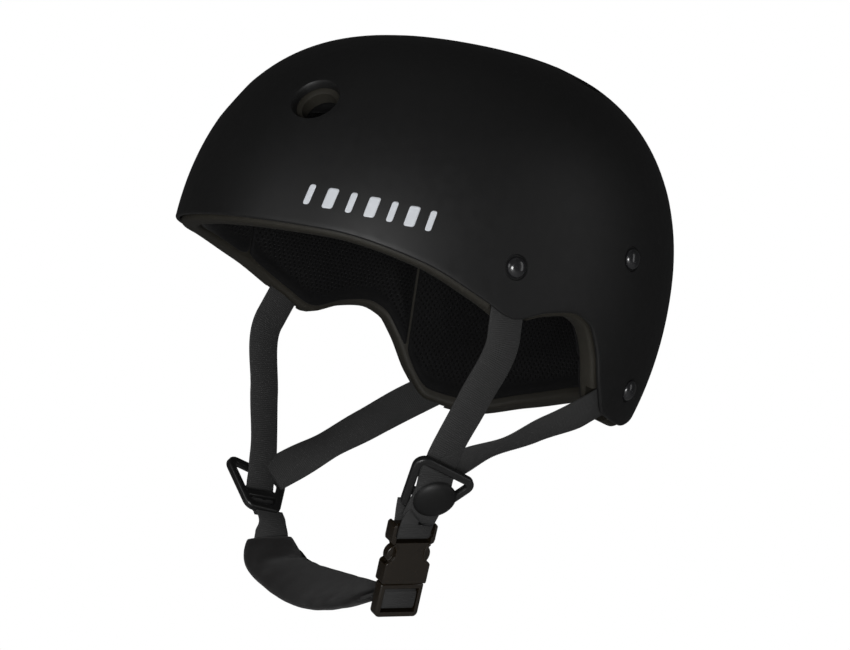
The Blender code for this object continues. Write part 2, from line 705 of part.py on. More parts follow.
# ---------------------------------------------------------------- buckle

def buckle_frame():
    """Local frame of the buckle: x towards the back, y up the buckle, z outwards."""
    across = (Vector((0, 1, 0)) - BUCKLE_AXIS * BUCKLE_AXIS.y).normalized()
    outward = across.cross(BUCKLE_AXIS)
    rotation = Matrix((across, BUCKLE_AXIS, outward)).transposed().to_4x4()
    return Matrix.Translation(BUCKLE_CENTRE) @ rotation


def buckle_point(across, along, outward):
    return buckle_frame() @ Vector((across, along, outward))


def both_sides(half):
    """A closed outline from its right half, which is listed upwards."""
    return half + [(-x, y) for x, y in reversed(half)]


def build_buckle_body(pivot, materials):
    frame = buckle_frame()
    width = BUCKLE_HALF_WIDTH
    half = [(width - 0.0004, GAP), (width, 0.0008), (width, 0.0105), (0.0104, 0.0125), (0.0090, 0.0150),
            (0.0092, 0.0195), (0.0106, 0.0225), (0.0106, 0.0238), (0.0128, 0.0262), (0.0128, 0.0338),
            (0.0118, BUCKLE_BODY_LENGTH)]
    bm = bmesh.new()
    prism(bm, both_sides(half), -BUCKLE_HALF_THICKNESS, BUCKLE_HALF_THICKNESS, frame)
    body = add_object("buckle_body", bm, materials["plastic"], pivot)
    cavity = BUCKLE_CAVITY_HALF
    mouth = both_sides([(0.0117, -0.002), (0.0117, 0.0112), (0.02, 0.0112), (0.02, 0.0228), (0.0078, 0.0228)])
    cut(body, cutter_prism("cut_buckle_cavity", mouth, -cavity, cavity, frame))
    slot = box_outline(-0.0106, 0.0106, 0.0244, 0.0292)
    cut(body, cutter_prism("cut_buckle_slot", slot, -0.01, 0.01, frame))
    bar_front = box_outline(-0.0114, 0.0114, 0.0280, 0.0400)
    reach = BUCKLE_BAR_HALF_THICKNESS
    cut(body, cutter_prism("cut_buckle_bar_front", bar_front, reach, 0.01, frame))
    cut(body, cutter_prism("cut_buckle_bar_back", bar_front, -0.01, -reach, frame))
    return body


def build_clip(pivot, materials):
    frame = buckle_frame()
    wide = CLIP_HALF_WIDTH
    thick = CLIP_HALF_THICKNESS
    half = [(0.0112, -CLIP_LENGTH), (wide, -CLIP_LENGTH + 0.0015), (wide, -GAP)]
    bm = bmesh.new()
    prism(bm, both_sides(half), -thick, thick, frame)
    clip = add_object("buckle_clip", bm, materials["plastic"], pivot)
    opening = box_outline(-0.0104, 0.0104, -0.0168, -0.0028)
    window = cutter_prism("cut_clip_window", opening, -0.01, 0.01, frame)
    bar = cutter_prism("cut_clip_bar", box_outline(-0.0150, 0.0150, -0.0132, -0.0062), -0.0011, 0.0011, frame)
    cut(window, bar)
    cut(clip, window)
    guide = bmesh.new()
    guide_half = [(0.0030, -0.0010), (0.0030, 0.0180), (0.0018, 0.0200)]
    prism(guide, both_sides(guide_half), -0.0016, 0.0016, frame)
    join(clip, add_object("clip_guide", guide, None))
    return clip


def build_prong(side, pivot, materials):
    """A sprung arm whose head bulges out of the body's side window."""
    sign = 1 if side == "rear" else -1
    root = PRONG_HINGE_LEVEL
    outline = [(0.0078, root), (0.0106, root), (0.0108, 0.0114), (0.0124, 0.0126), (0.0129, 0.0160),
               (0.0118, 0.0196), (0.0096, 0.0218), (0.0078, 0.0216), (0.0074, 0.0160), (0.0082, 0.0120)]
    outline = [(x * sign, y) for x, y in outline]
    if sign < 0:
        outline.reverse()
    bm = bmesh.new()
    prism(bm, outline, -0.0022, 0.0022, buckle_frame())
    return add_object(f"prong_{side}", bm, materials["plastic"], pivot)


def build_lower_strap(pivot, materials):
    """From the left divider, over the buckle's bar, through its slot and back up behind."""
    outward = buckle_frame().to_3x3() @ Vector((0, 0, 1))
    up = BUCKLE_AXIS
    divider_out = divider_frame("left").to_3x3() @ Vector((0, 0, 1))
    shift = STRAP_SHIFTS["left"]
    layer = BUCKLE_BAR_HALF_THICKNESS + GAP + WEB_THICKNESS / 2
    points = [(divider_point("left", shift, DIVIDER_EXIT_LEVEL - drop, WEB_OVER_DIVIDER), divider_out)
              for drop in (0.0014, 0.0020, 0.0028)]
    points += [(buckle_point(0, level, layer + lift), outward)
               for level, lift in ((0.0358, 0.0012), (0.0335, 0.0003), (0.0300, 0.0))]
    turn = [(0.0280, 0.0028, 0.5), (0.0266, 0.0015, 1.5), (0.0262, 0.0, 6.0)]
    points += [(buckle_point(0, level, out), (outward - up * lean).normalized()) for level, out, lean in turn]
    points += [(buckle_point(0, level, -out), (-outward - up * lean).normalized())
               for level, out, lean in reversed(turn[:2])]
    points += [(buckle_point(0, level, -layer), -outward) for level in (0.0300, 0.0320, 0.0340)]
    return webbing("lower_strap_left", points, materials["webbing"], pivot)


# ---------------------------------------------------------------- chin strap and pad

def chin_arc(x):
    """The middle of the chin webbing, which drifts back a little towards the buckle."""
    along = min(max(x / BUCKLE_ALIGN_X, 0.0), 1.0)
    y = CHIN_Y + CHIN_DRIFT * along * along * (3 - 2 * along)
    return Vector((x, y, CHIN_CENTRE[1] - sqrt(CHIN_RADIUS ** 2 - (x - CHIN_CENTRE[0]) ** 2)))


def chin_tilt(x):
    """How far the chin webbing is turned about its length, front edge down, in radians."""
    along = (x - PAD_START_X) / (PAD_END_X - PAD_START_X)
    return radians(9) + radians(28) * sin(pi * min(max(along * 0.8 + 0.12, 0.0), 1.0))


def chin_facing(x):
    radial = Vector((x - CHIN_CENTRE[0], 0, chin_arc(x).z - CHIN_CENTRE[1])).normalized()
    tilt = chin_tilt(x)
    return radial * cos(tilt) + Vector((0, 1, 0)) * sin(tilt)


def arc_points(start, end, count):
    return [(chin_arc(start + (end - start) * i / count), chin_facing(start + (end - start) * i / count))
            for i in range(count + 1)]


def build_chin_strap(pivot, materials):
    outward = divider_frame("right").to_3x3() @ Vector((0, 0, 1))
    shift = STRAP_SHIFTS["right"]
    start = DIVIDER_EXIT_LEVEL - LOOP_OPENING
    points = [(divider_point("right", shift, start - run, WEB_OVER_DIVIDER), outward)
              for run in (0.0, 0.0015, 0.0030)]
    points += [
        (Vector((-0.0755, CHIN_Y, -0.1665)), (outward * 2 + chin_facing(PAD_START_X)).normalized()),
        (Vector((-0.0705, CHIN_Y, -0.1762)), chin_facing(PAD_START_X)),
    ]
    points += arc_points(PAD_START_X, CHIN_STRAP_END_X, 8)
    return webbing("chin_strap", points, materials["webbing"], pivot)


def build_clip_loop(pivot, materials):
    """The end of the chin strap, round the clip's bar."""
    outward = buckle_frame().to_3x3() @ Vector((0, 0, 1))
    up = BUCKLE_AXIS
    lead = CHIN_STRAP_END_X + CHIN_STRAP_GAP
    points = arc_points(lead, lead + 0.0020, 2)
    points += [
        (buckle_point(0, -0.0140, -0.0060), (chin_facing(lead) - up * 0.8).normalized()),
        (buckle_point(0, -0.0150, -0.0028), (-up - outward * 0.3).normalized()),
        (buckle_point(0, -0.0150, 0.0), (outward * 0.2 - up).normalized()),
        (buckle_point(0, -0.0140, 0.0018), (outward - up).normalized()),
        (buckle_point(0, -0.0115, 0.0023), outward),
        (buckle_point(0, -0.0080, 0.0023), outward),
        (buckle_point(0, -0.0054, 0.0018), (outward + up).normalized()),
        (buckle_point(0, -0.0045, 0.0), up),
        (buckle_point(0, -0.0054, -0.0018), (up - outward).normalized()),
        (buckle_point(0, -0.0080, -0.0023), -outward),
        (buckle_point(0, -0.0100, -0.0023), -outward),
    ]
    return webbing("clip_loop", points, materials["webbing"], pivot)


def build_chin_pad(pivot, materials):
    route = arc_points(PAD_START_X, PAD_END_X, 8)
    pad = add_object("chin_pad", sweep(oval(PAD_WIDTH, PAD_THICKNESS), route), materials["neoprene"], pivot)
    longer = arc_points(PAD_START_X - 0.003, PAD_END_X + 0.003, 8)
    sleeve = add_object("cut_sleeve", sweep(slab(SLEEVE_WIDTH, SLEEVE_HEIGHT), longer), None)
    cut(pad, sleeve)
    offset = PAD_WIDTH / 2 - FLAP_WIDTH / 2 + 0.0048
    level = PAD_THICKNESS / 2 + FLAP_THICKNESS / 2 + GAP
    outline = [(a + offset, t + level) for a, t in slab(FLAP_WIDTH, FLAP_THICKNESS)]
    short = arc_points(PAD_START_X - 0.003, PAD_END_X - 0.006, 8)
    add_object("chin_pad_flap", sweep(outline, short), materials["neoprene"], pivot)
    return pad


# ---------------------------------------------------------------- joints' places and the whole object

def chin_pivot_place():
    return divider_point("left", STRAP_SHIFTS["left"], DIVIDER_EXIT_LEVEL, WEB_OVER_DIVIDER)


def main():
    clear_scene()
    materials = {
        "shell": plastic("shell_black", (0.012, 0.012, 0.012), 0.5),
        "foam": plastic("foam_black", (0.020, 0.019, 0.017), 0.9),
        "mesh": plastic("pad_mesh_black", (0.010, 0.010, 0.010), 0.95),
        "rivet": plastic("rivet_black_nickel", (0.10, 0.10, 0.10), 0.25, 1.0),
        "steel": plastic("washer_steel", (0.35, 0.35, 0.36), 0.35, 1.0),
        "webbing": plastic("webbing_black", (0.016, 0.016, 0.016), 0.8),
        "plastic": plastic("buckle_black", (0.008, 0.008, 0.008), 0.3),
        "matte_plastic": plastic("cap_black", (0.012, 0.012, 0.012), 0.6),
        "neoprene": plastic("neoprene_black", (0.014, 0.013, 0.014), 0.9),
    }
    build_shell_and_liner(materials)
    build_pads(materials)
    build_rivets(materials)
    build_strap_ends(materials)
    pivots = {}
    for side in ("left", "right"):
        place, axis = strap_pivot_line(side)
        pivots[side] = add_pivot(f"pivot_{side}_straps", frame_matrix(place, (1, 0, 0), axis))
        build_side_straps(side, pivots[side], materials)
    chin = add_pivot("pivot_chin_loop", Matrix.Translation(chin_pivot_place()), pivots["left"])
    build_lower_strap(chin, materials)
    build_buckle_body(chin, materials)
    build_chin_strap(chin, materials)
    clip = add_pivot("pivot_clip", buckle_frame(), chin)
    build_clip(clip, materials)
    build_clip_loop(clip, materials)
    for side, sign in (("front", -1), ("rear", 1)):
        place = frame_matrix(buckle_point(sign * PRONG_OFFSET, PRONG_HINGE_LEVEL, 0), (0, 0, 1),
                             buckle_frame().to_3x3() @ Vector((0, 0, 1)))
        build_prong(side, add_pivot(f"pivot_prong_{side}", place, clip), materials)
    pad = add_pivot("pivot_chin_pad", Matrix.Translation((CHIN_CENTRE[0], CHIN_Y, CHIN_CENTRE[1])), chin)
    build_chin_pad(pad, materials)


main()
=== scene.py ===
"""Looks of the water-sports helmet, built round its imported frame.

Metres, +Z up. -Y is the front and +X the wearer's left, as in the frame.
"""
import logging
from dataclasses import dataclass
from enum import Enum
from math import atan2, ceil, cos, degrees, pi, radians, sin, sqrt
from typing import Callable, Optional, Sequence

import bmesh
import bpy
from mathutils import Matrix, Vector
from mathutils.bvhtree import BVHTree


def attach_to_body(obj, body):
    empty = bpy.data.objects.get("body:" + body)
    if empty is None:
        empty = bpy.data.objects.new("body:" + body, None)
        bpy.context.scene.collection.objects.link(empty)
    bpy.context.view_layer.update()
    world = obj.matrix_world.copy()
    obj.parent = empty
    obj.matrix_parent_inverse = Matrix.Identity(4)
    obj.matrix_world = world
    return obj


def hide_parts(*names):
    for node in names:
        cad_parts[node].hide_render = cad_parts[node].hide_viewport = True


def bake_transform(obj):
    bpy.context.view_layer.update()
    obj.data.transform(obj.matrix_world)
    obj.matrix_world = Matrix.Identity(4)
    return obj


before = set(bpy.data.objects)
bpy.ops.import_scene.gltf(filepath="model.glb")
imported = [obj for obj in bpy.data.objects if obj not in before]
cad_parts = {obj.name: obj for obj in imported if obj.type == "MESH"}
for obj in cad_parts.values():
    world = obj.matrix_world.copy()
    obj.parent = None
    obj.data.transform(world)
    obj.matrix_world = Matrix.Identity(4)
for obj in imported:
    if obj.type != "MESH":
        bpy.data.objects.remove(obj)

log = logging.getLogger("helmet")

Outline = list[tuple[float, float]]
Route = list[tuple[Vector, Vector]]
Section = tuple[Vector, Vector, Vector]

# The shell's surface.
HALF_WIDTH = 0.1125
FRONT_LENGTH = 0.1517
BACK_LENGTH = 0.1378
PLAN_POWER = 2.132
CROWN_HEIGHT = 0.1155
WIDEST = (-0.0258, 0.0045, -0.0067)
TAPER = (0.256, 0.228, 0.163)
DOME_POWER = 2.129
DOME_ROOT = 2.825
SHELL_WALL = 0.0026
RIM = ((0, -0.0045), (32, -0.0062), (54, -0.0150), (72, -0.0290), (82, -0.0362), (93, -0.0295),
       (102, -0.0268), (108, -0.0305), (113, -0.0420), (119, -0.0620), (126, -0.0760), (140, -0.0795),
       (157, -0.0715), (180, -0.0630))
EAR_AZIMUTH = radians(110)
EAR_CROWDING = 0.45
NORMAL_STEP = 0.002
WELD = 2e-6
SHELL_COLUMNS, SHELL_RINGS = 230, 60
RIM_ROUNDING = 0.0011

LINER_DEPTH = 0.0035
LINER_WALL = 0.0105
LINER_DROP = 0.0025
LINER_COLUMNS, LINER_RINGS = 180, 34
LINER_ROUNDING = 0.0024
PAD_DEPTH = LINER_DEPTH + LINER_WALL + 0.0006
PAD_WALL = 0.0086
PAD_EDGE_WALL = 0.0030
PAD_BORDER = 0.0080
PAD_CELL = 0.0034
SIDE_HEM = 0.0060
FRONT_PAD = (-54, 54, -0.0004, 0.042)
SIDE_PAD = (54.6, 116.4, 0.0002, 0.038)
REAR_PAD = (117.0, 243.0, 0.0016, 0.014)
CROWN_PAD_RIM = 0.0720
CROWN_PAD_WALL = 0.0080
CROWN_PAD_ROUNDING = 0.0022
CROWN_VOXEL = 0.0026
CROWN_VENT_HEIGHT = 0.1
CROWN_HOLE = ((0, 0.0), (0.0125, 0.0), (0.0125, -0.05), (0, -0.05))
CROWN_MESH_RISE = 0.007
CROWN_SEWN_RISE = 0.006
PAD_CORNER = 0.014
PAD_SWELL = 0.016
PAD_HEM = 0.003
PAD_SEAM_DEPTH = 0.0010
PAD_SEAM_WIDTH = 0.0030
PAD_ROWS = 24
LINER_GIRTH_RADIUS = 0.108
MESH_EDGE = 0.0006
CLOTH_FRAMES = 20

# Vents: azimuth in degrees, height, sides.
VENTS = ((20, 0.0640, 1), (20, 0.0640, -1), (131, 0.1055, 1), (131, 0.1055, -1),
         (158, 0.0560, 1), (158, 0.0560, -1), (0, 0.1130, 1))
VENT_PROFILE = ((0.0175, 0.0030), (0.0150, 0.0006), (0.0143, -0.0002), (0.0134, -0.0012), (0.0127, -0.0026),
                (0.0123, -0.0042), (0.0121, -0.0070))
VENT_BOSS = (0.0158, -0.0012, -0.0056)
VENT_SIDES = 56
LINER_VENT_PROFILE = ((0, 0.0100), (0.0166, 0.0100), (0.0166, -0.0062), (0.0108, -0.0068),
                      (0.0098, -0.0075), (0.0098, -0.0400), (0, -0.0400))
RIVETS = {"front": (80, -0.0090), "upper_rear": (120, 0.0090), "lower_rear": (135, -0.0600)}
RIVET_DISH = ((0.0082, 0.0020), (0.0074, 0.0004), (0.0069, -0.0003), (0.0065, -0.0010))
RIVET_HOLE = ((0.0028, -0.0010), (0.0028, -0.0060), (0, -0.0060))
RIVET_POCKET = ((0, 0.0040), (0.0090, 0.0040), (0.0090, -0.0086), (0, -0.0086))
RIVET_SHANK_RADIUS = 0.0024
RIVET_TAIL_RADIUS = 0.0044
RIVET_TAIL_WALL = 0.001
UPPER_RIVET_GRIP = 0.0046
RIVET_HEAD = ((0, 0.0030), (0.0016, 0.00292), (0.0030, 0.00262), (0.0042, 0.0021), (0.0051, 0.0013),
              (0.0056, 0.0006), (0.0058, 0.0), (0.0058, -0.0006), (0.0024, -0.0006))

# Webbing.
WEB_WIDTH = 0.0200
WEB_THICKNESS = 0.0014
RIB_PITCH = 0.0011
RIB_HEIGHT = 0.00016
RIB_SHAPE = (-1.0, 0.45, 1.0, 0.45)
WASHER_GAP = 0.0008
WASHER_WALL = 0.0009
GAP = 0.0003
WEB_DEPTH = SHELL_WALL + WASHER_GAP + WASHER_WALL + GAP + WEB_THICKNESS / 2
STRAP_TAIL = 0.0080
CHANNEL_WIDTH = 0.0250
CHANNEL_FLOOR = 0.0046
CHANNEL_DEPTH = 0.0104
EXIT_DEPTH = 0.0062
STRAP_EXITS = {
    "left": {"front": (81.5, -0.0400), "rear": (124.0, -0.0735)},
    "right": {"front": (71.5, -0.0415), "rear": (124.0, -0.0765)},
}

# Dividers.
DIVIDER_CENTRES = {"left": (0.0931, -0.0326, -0.1265), "right": (-0.0925, -0.0325, -0.1385)}
DIVIDER_LEAN = radians(40)
DIVIDER_TURN = radians(10)
DIVIDER_OUTLINE = ((-0.0222, 0.0170), (-0.0178, -0.0200), (0.0048, -0.0214), (0.0204, 0.0032))
DIVIDER_CORNER = 0.0060
DIVIDER_BAR = 0.0045
DIVIDER_WALL = 0.0042
DIVIDER_EXIT_LEVEL = -0.0225
STRAP_SHIFTS = {"left": -0.0048, "right": -0.0010}
CAP_SHIFTS = {"left": -0.0025, "right": 0.0}
CROSS_BAR_LEVEL = -0.0090
CROSS_BAR_HALF = 0.0014
WEB_OVER_DIVIDER = 0.0027
WEB_BEHIND_DIVIDER = -0.0028
TOP_SLOT_LEVELS = {"left": 0.0040, "right": 0.0025}
STRAP_RISE = 0.69
REAR_STRAP_END = {"left": -0.0020, "right": 0.0040}
REAR_STRAP_DEPTH = -0.0058
CAP_SEAT = 0.0016
CAP_PROFILE = ((0, 0.0070), (0.0035, 0.00685), (0.0065, 0.0064), (0.0090, 0.0056), (0.0106, 0.0047),
               (0.0115, 0.0037), (0.0117, 0.0031), (0.0113, 0.0026), (0.0022, 0.0026), (0.0022, 0.0002),
               (0, 0.0002))

# Buckle.
BUCKLE_CENTRE = Vector((0.0625, -0.0300, -0.1817))
BUCKLE_AXIS = Vector((0.360, -0.162, 0.919)).normalized()
BUCKLE_HALF_WIDTH = 0.0134
BUCKLE_HALF_THICKNESS = 0.0043
BUCKLE_CAVITY_HALF = 0.0027
BUCKLE_BAR_HALF_THICKNESS = 0.0020
CLIP_LENGTH = 0.0198
CLIP_HALF_WIDTH = 0.0130
CLIP_HALF_THICKNESS = 0.0034

# Chin loop and pad.
CHIN_Y = -0.0320
CHIN_DRIFT = 0.0042
BUCKLE_ALIGN_X = 0.0460
CHIN_CENTRE = (0.0043, 0.0260)
CHIN_RADIUS = 0.2195
PAD_START_X = -0.0635
PAD_END_X = 0.0395
CHIN_PAD_WIDTH = 0.0340
CHIN_PAD_THICKNESS = 0.0088
CHIN_STRAP_END_X = 0.0455
FLAP_WIDTH = 0.0100
FLAP_THICKNESS = 0.0014

# Printed mark: first azimuth, step, height there, and drop for each step.
MARK = (27.5, 4.6, 0.0110, 0.0007)
MARK_BARS = 7
MARK_COLUMNS, MARK_ROWS = 8, 14
MARK_HALF_WIDTHS = (0.0017, 0.0029)
MARK_HALF_HEIGHT = 0.0056
MARK_CORNER = 0.0013
MARK_SLANT = 0.22
MARK_LIFT = 0.00012
MARK_WALL = 0.0001

# Camera and studio.
CAMERA_AXES = ((0.5427, 0.8258, 0.1533), (-0.0324, -0.1617, 0.9863), (0.8393, -0.5402, -0.0610))
CAMERA_PLACE = (1.99282, -1.28181, -0.18492)
CAMERA_LENS = 182.2
FLOOR_LEVEL = -0.75


class Side(Enum):
    """A side of the wearer, with the sign of its x."""

    LEFT = 1
    RIGHT = -1

    @property
    def word(self) -> str:
        """The side's name in piece names."""
        return self.name.lower()


class Pattern(Enum):
    """What a layer of relief is made of."""

    NOISE = "noise"
    LATTICE = "lattice"
    WEAVE = "weave"
    STREAKS = "streaks"


# ---------------------------------------------------------------- finishes

@dataclass(frozen=True)
class Layer:
    """One layer of relief in a finish.

    pattern: its kind. pitch: the size of one repeat in metres. depth: its height in metres.
    shade: painted shade, how far the hollows darken the colour, from 0 to 1.
    """

    pattern: Pattern
    pitch: float
    depth: float
    shade: float = 0.0


@dataclass(frozen=True)
class Finish:
    """A surface finish, from which a material is built."""

    name: str
    colour: tuple[float, float, float]
    roughness: float
    specular: float = 0.3
    metallic: float = 0.0
    sheen: float = 0.0
    coat: float = 0.0
    mottle: float = 0.12
    layers: tuple[Layer, ...] = ()

    def material(self) -> bpy.types.Material:
        """Returns the finish's material, made at its first use."""
        known = bpy.data.materials.get(self.name)
        return known if known else MaterialBuilder(self).build()


class MaterialBuilder:
    """Builds the node tree of a finish."""

    def __init__(self, finish: Finish) -> None:
        self.finish = finish
        self.item = bpy.data.materials.new(finish.name)
        self.item.use_nodes = True
        self.tree = self.item.node_tree
        self.shader = self.tree.nodes["Principled BSDF"]

    def node(self, kind: str, values: Sequence = (), **settings) -> bpy.types.Node:
        """Adds a node.

        Args:
            kind: the node's type.
            values: one entry for each input, a socket to link, a constant, or None to leave it.
            settings: the node's own properties.
        Returns:
            The node.
        """
        made = self.tree.nodes.new(kind)
        for key, value in settings.items():
            setattr(made, key, value)
        for slot, value in enumerate(values):
            if isinstance(value, bpy.types.NodeSocket):
                self.tree.links.new(value, made.inputs[slot])
            elif value is not None:
                made.inputs[slot].default_value = value
        return made

    def maths(self, operation: str, *values) -> bpy.types.NodeSocket:
        """Adds a maths node and returns its output."""
        return self.node("ShaderNodeMath", values, operation=operation).outputs[0]

    def noise(self, pitch: float, detail: float = 3.0, stretch: tuple = (1, 1, 1)) -> bpy.types.NodeSocket:
        """Returns fractal noise from 0 to 1 whose features are about pitch across."""
        place = self.node("ShaderNodeTexCoord").outputs["Object"]
        mapped = self.node("ShaderNodeMapping", (place,))
        mapped.inputs["Scale"].default_value = stretch
        made = self.node("ShaderNodeTexNoise", (mapped.outputs[0],))
        made.inputs["Scale"].default_value = 1 / pitch
        made.inputs["Detail"].default_value = detail
        return made.outputs[0]

    def waves(self, pitch_u: float, pitch_v: float) -> bpy.types.NodeSocket:
        """Returns the product of a wave along u and one along v, from -1 to 1."""
        split = self.node("ShaderNodeSeparateXYZ", (self.node("ShaderNodeTexCoord").outputs["UV"],))
        along = self.maths("COSINE", self.maths("MULTIPLY", split.outputs[0], 2 * pi / pitch_u))
        across = self.maths("COSINE", self.maths("MULTIPLY", split.outputs[1], 2 * pi / pitch_v))
        return self.maths("MULTIPLY", along, across)

    def height(self, layer: Layer) -> bpy.types.NodeSocket:
        """Returns a layer's height, from 0 in its hollows to 1."""
        if layer.pattern is Pattern.NOISE:
            return self.noise(layer.pitch)
        if layer.pattern is Pattern.STREAKS:
            return self.noise(layer.pitch, 4.0, (1, 1, 0.12))
        if layer.pattern is Pattern.WEAVE:
            return self.maths("MULTIPLY_ADD", self.waves(layer.pitch, layer.pitch), 0.5, 0.5)
        # Lattice: the open mesh's holes, low where mesh_share is 1; the build darkens them as painted shade.
        wave = self.waves(layer.pitch, layer.pitch * 1.45)
        hole = self.node("ShaderNodeMapRange", (wave, 0.05, 0.62, 0.0, 1.0)).outputs[0]
        inside = self.node("ShaderNodeAttribute", attribute_name="mesh_share").outputs["Fac"]
        return self.maths("SUBTRACT", 1.0, self.maths("MULTIPLY", hole, inside))

    def tinted(self, height: bpy.types.NodeSocket, colour, low: float, high: float) -> bpy.types.NodeSocket:
        """Returns the colour scaled by low where the height is 0 and by high where it is 1."""
        scale = self.node("ShaderNodeMapRange", (height, 0.0, 1.0, low, high)).outputs[0]
        made = self.node("ShaderNodeVectorMath", (colour,), operation="SCALE")
        self.tree.links.new(scale, made.inputs["Scale"])
        return made.outputs[0]

    def build(self) -> bpy.types.Material:
        """Builds the whole tree and returns the material."""
        finish, shader = self.finish, self.shader
        broad = self.noise(0.022, 3.0)
        colour = self.tinted(broad, finish.colour, 1 - finish.mottle, 1 + finish.mottle)
        normal = None
        for layer in finish.layers:
            height = self.height(layer)
            # Painted shade: the colour is darkened in the layer's hollows.
            if layer.shade:
                colour = self.tinted(height, colour, 1 - layer.shade, 1.0)
            bump = self.node("ShaderNodeBump")
            bump.inputs["Strength"].default_value = 1.0
            bump.inputs["Distance"].default_value = layer.depth
            self.tree.links.new(height, bump.inputs["Height"])
            if normal:
                self.tree.links.new(normal, bump.inputs["Normal"])
            normal = bump.outputs[0]
        self.tree.links.new(colour, shader.inputs["Base Color"])
        if normal:
            self.tree.links.new(normal, shader.inputs["Normal"])
        rough = self.node("ShaderNodeMapRange", (self.noise(0.006, 4.0), 0.3, 0.7,
                                                 finish.roughness - 0.04, finish.roughness + 0.04))
        self.tree.links.new(rough.outputs[0], shader.inputs["Roughness"])
        shader.inputs["Metallic"].default_value = finish.metallic
        shader.inputs["Specular IOR Level"].default_value = finish.specular
        shader.inputs["Sheen Weight"].default_value = finish.sheen
        shader.inputs["Sheen Roughness"].default_value = 0.5
        shader.inputs["Coat Weight"].default_value = finish.coat
        shader.inputs["Coat Roughness"].default_value = 0.12
        return self.item


SHELL_PAINT = Finish("shell_satin_black", (0.0060, 0.0060, 0.0061), 0.50, 0.28, mottle=0.05,
                     layers=(Layer(Pattern.NOISE, 0.00055, 0.00002),))
# Darker in the hollows of its streaked relief, painted shade.
FOAM = Finish("foam_brown_black", (0.0185, 0.0168, 0.0128), 0.62, 0.22, mottle=0.22,
              layers=(Layer(Pattern.STREAKS, 0.0040, 0.00012, 0.25), Layer(Pattern.NOISE, 0.0009, 0.00006)))
# The air mesh's holes are painted nearly black by its lattice layer's shade, painted shade inside the holes.
AIR_MESH = Finish("air_mesh_black", (0.0036, 0.0036, 0.0038), 0.82, 0.10, sheen=0.02, mottle=0.15,
                  layers=(Layer(Pattern.LATTICE, 0.0030, 0.0009, 0.92),
                          Layer(Pattern.NOISE, 0.0004, 0.00008)))
# The weave's grooves are darkened by its shade, painted shade.
WEBBING = Finish("webbing_black", (0.0470, 0.0470, 0.0472), 0.62, 0.25, sheen=0.03, mottle=0.08,
                 layers=(Layer(Pattern.WEAVE, 0.0008, 0.00006, 0.15), Layer(Pattern.NOISE, 0.0003, 0.00003)))
PLASTIC = Finish("plastic_black", (0.0080, 0.0080, 0.0080), 0.32, 0.40, mottle=0.06,
                 layers=(Layer(Pattern.NOISE, 0.0007, 0.000012),))
GLOSS_PLASTIC = Finish("buckle_gloss_black", (0.0090, 0.0062, 0.0034), 0.24, 0.42, coat=0.10, mottle=0.08,
                       layers=(Layer(Pattern.NOISE, 0.0009, 0.000010),))
CAP_PLASTIC = Finish("cap_matte_black", (0.0050, 0.0050, 0.0050), 0.50, 0.24, mottle=0.06,
                     layers=(Layer(Pattern.NOISE, 0.0005, 0.00003),))
# Darker in the hollows of the knit weave and its fuzz, painted shade.
NEOPRENE = Finish("brushed_knit_black", (0.0122, 0.0114, 0.0115), 0.90, 0.10, sheen=0.10, mottle=0.20,
                  layers=(Layer(Pattern.WEAVE, 0.0009, 0.00010, 0.30),
                          Layer(Pattern.NOISE, 0.0007, 0.00014, 0.2)))
THREAD = Finish("thread_black", (0.030, 0.029, 0.029), 0.7, 0.2)
RIVET_METAL = Finish("rivet_black_gloss", (0.010, 0.010, 0.011), 0.24, 0.5, coat=0.3)
STEEL = Finish("washer_steel", (0.35, 0.35, 0.36), 0.35, 0.5, metallic=1.0,
               layers=(Layer(Pattern.NOISE, 0.0006, 0.00001),))
PRINT = Finish("print_light_grey", (0.53, 0.55, 0.58), 0.50, 0.3, mottle=0.03,
               layers=(Layer(Pattern.NOISE, 0.0006, 0.00002),))


# ---------------------------------------------------------------- meshes

def finish_mesh(name: str, bm: bmesh.types.BMesh, finish: Finish, sharp: float = 38.0) -> bpy.types.Object:
    """Makes an object from a bmesh that is in the frame's coordinates.

    Args:
        name: the piece's name.
        bm: its mesh, which is freed.
        finish: its finish.
        sharp: the angle in degrees above which an edge is drawn sharp.
    Returns:
        The object.
    """
    bmesh.ops.recalc_face_normals(bm, faces=bm.faces)
    mesh = bpy.data.meshes.new(name)
    bm.to_mesh(mesh)
    bm.free()
    mesh.shade_smooth()
    mesh.set_sharp_from_angle(angle=radians(sharp))
    item = bpy.data.objects.new(name, mesh)
    bpy.context.scene.collection.objects.link(item)
    mesh.materials.append(finish.material())
    log.info("%s: %d faces", name, len(mesh.polygons))
    return item


def store(bm: bmesh.types.BMesh, item: bpy.types.Object, sharp: float = 38.0) -> None:
    """Puts a bmesh back into its object, shaded smooth between sharp edges, and frees it."""
    bm.to_mesh(item.data)
    bm.free()
    item.data.shade_smooth()
    item.data.set_sharp_from_angle(angle=radians(sharp))


def bake_modifiers(item: bpy.types.Object) -> None:
    """Replaces an object's mesh with what its modifiers make of it."""
    graph = bpy.context.evaluated_depsgraph_get()
    mesh = bpy.data.meshes.new_from_object(item.evaluated_get(graph))
    item.modifiers.clear()
    item.data = mesh


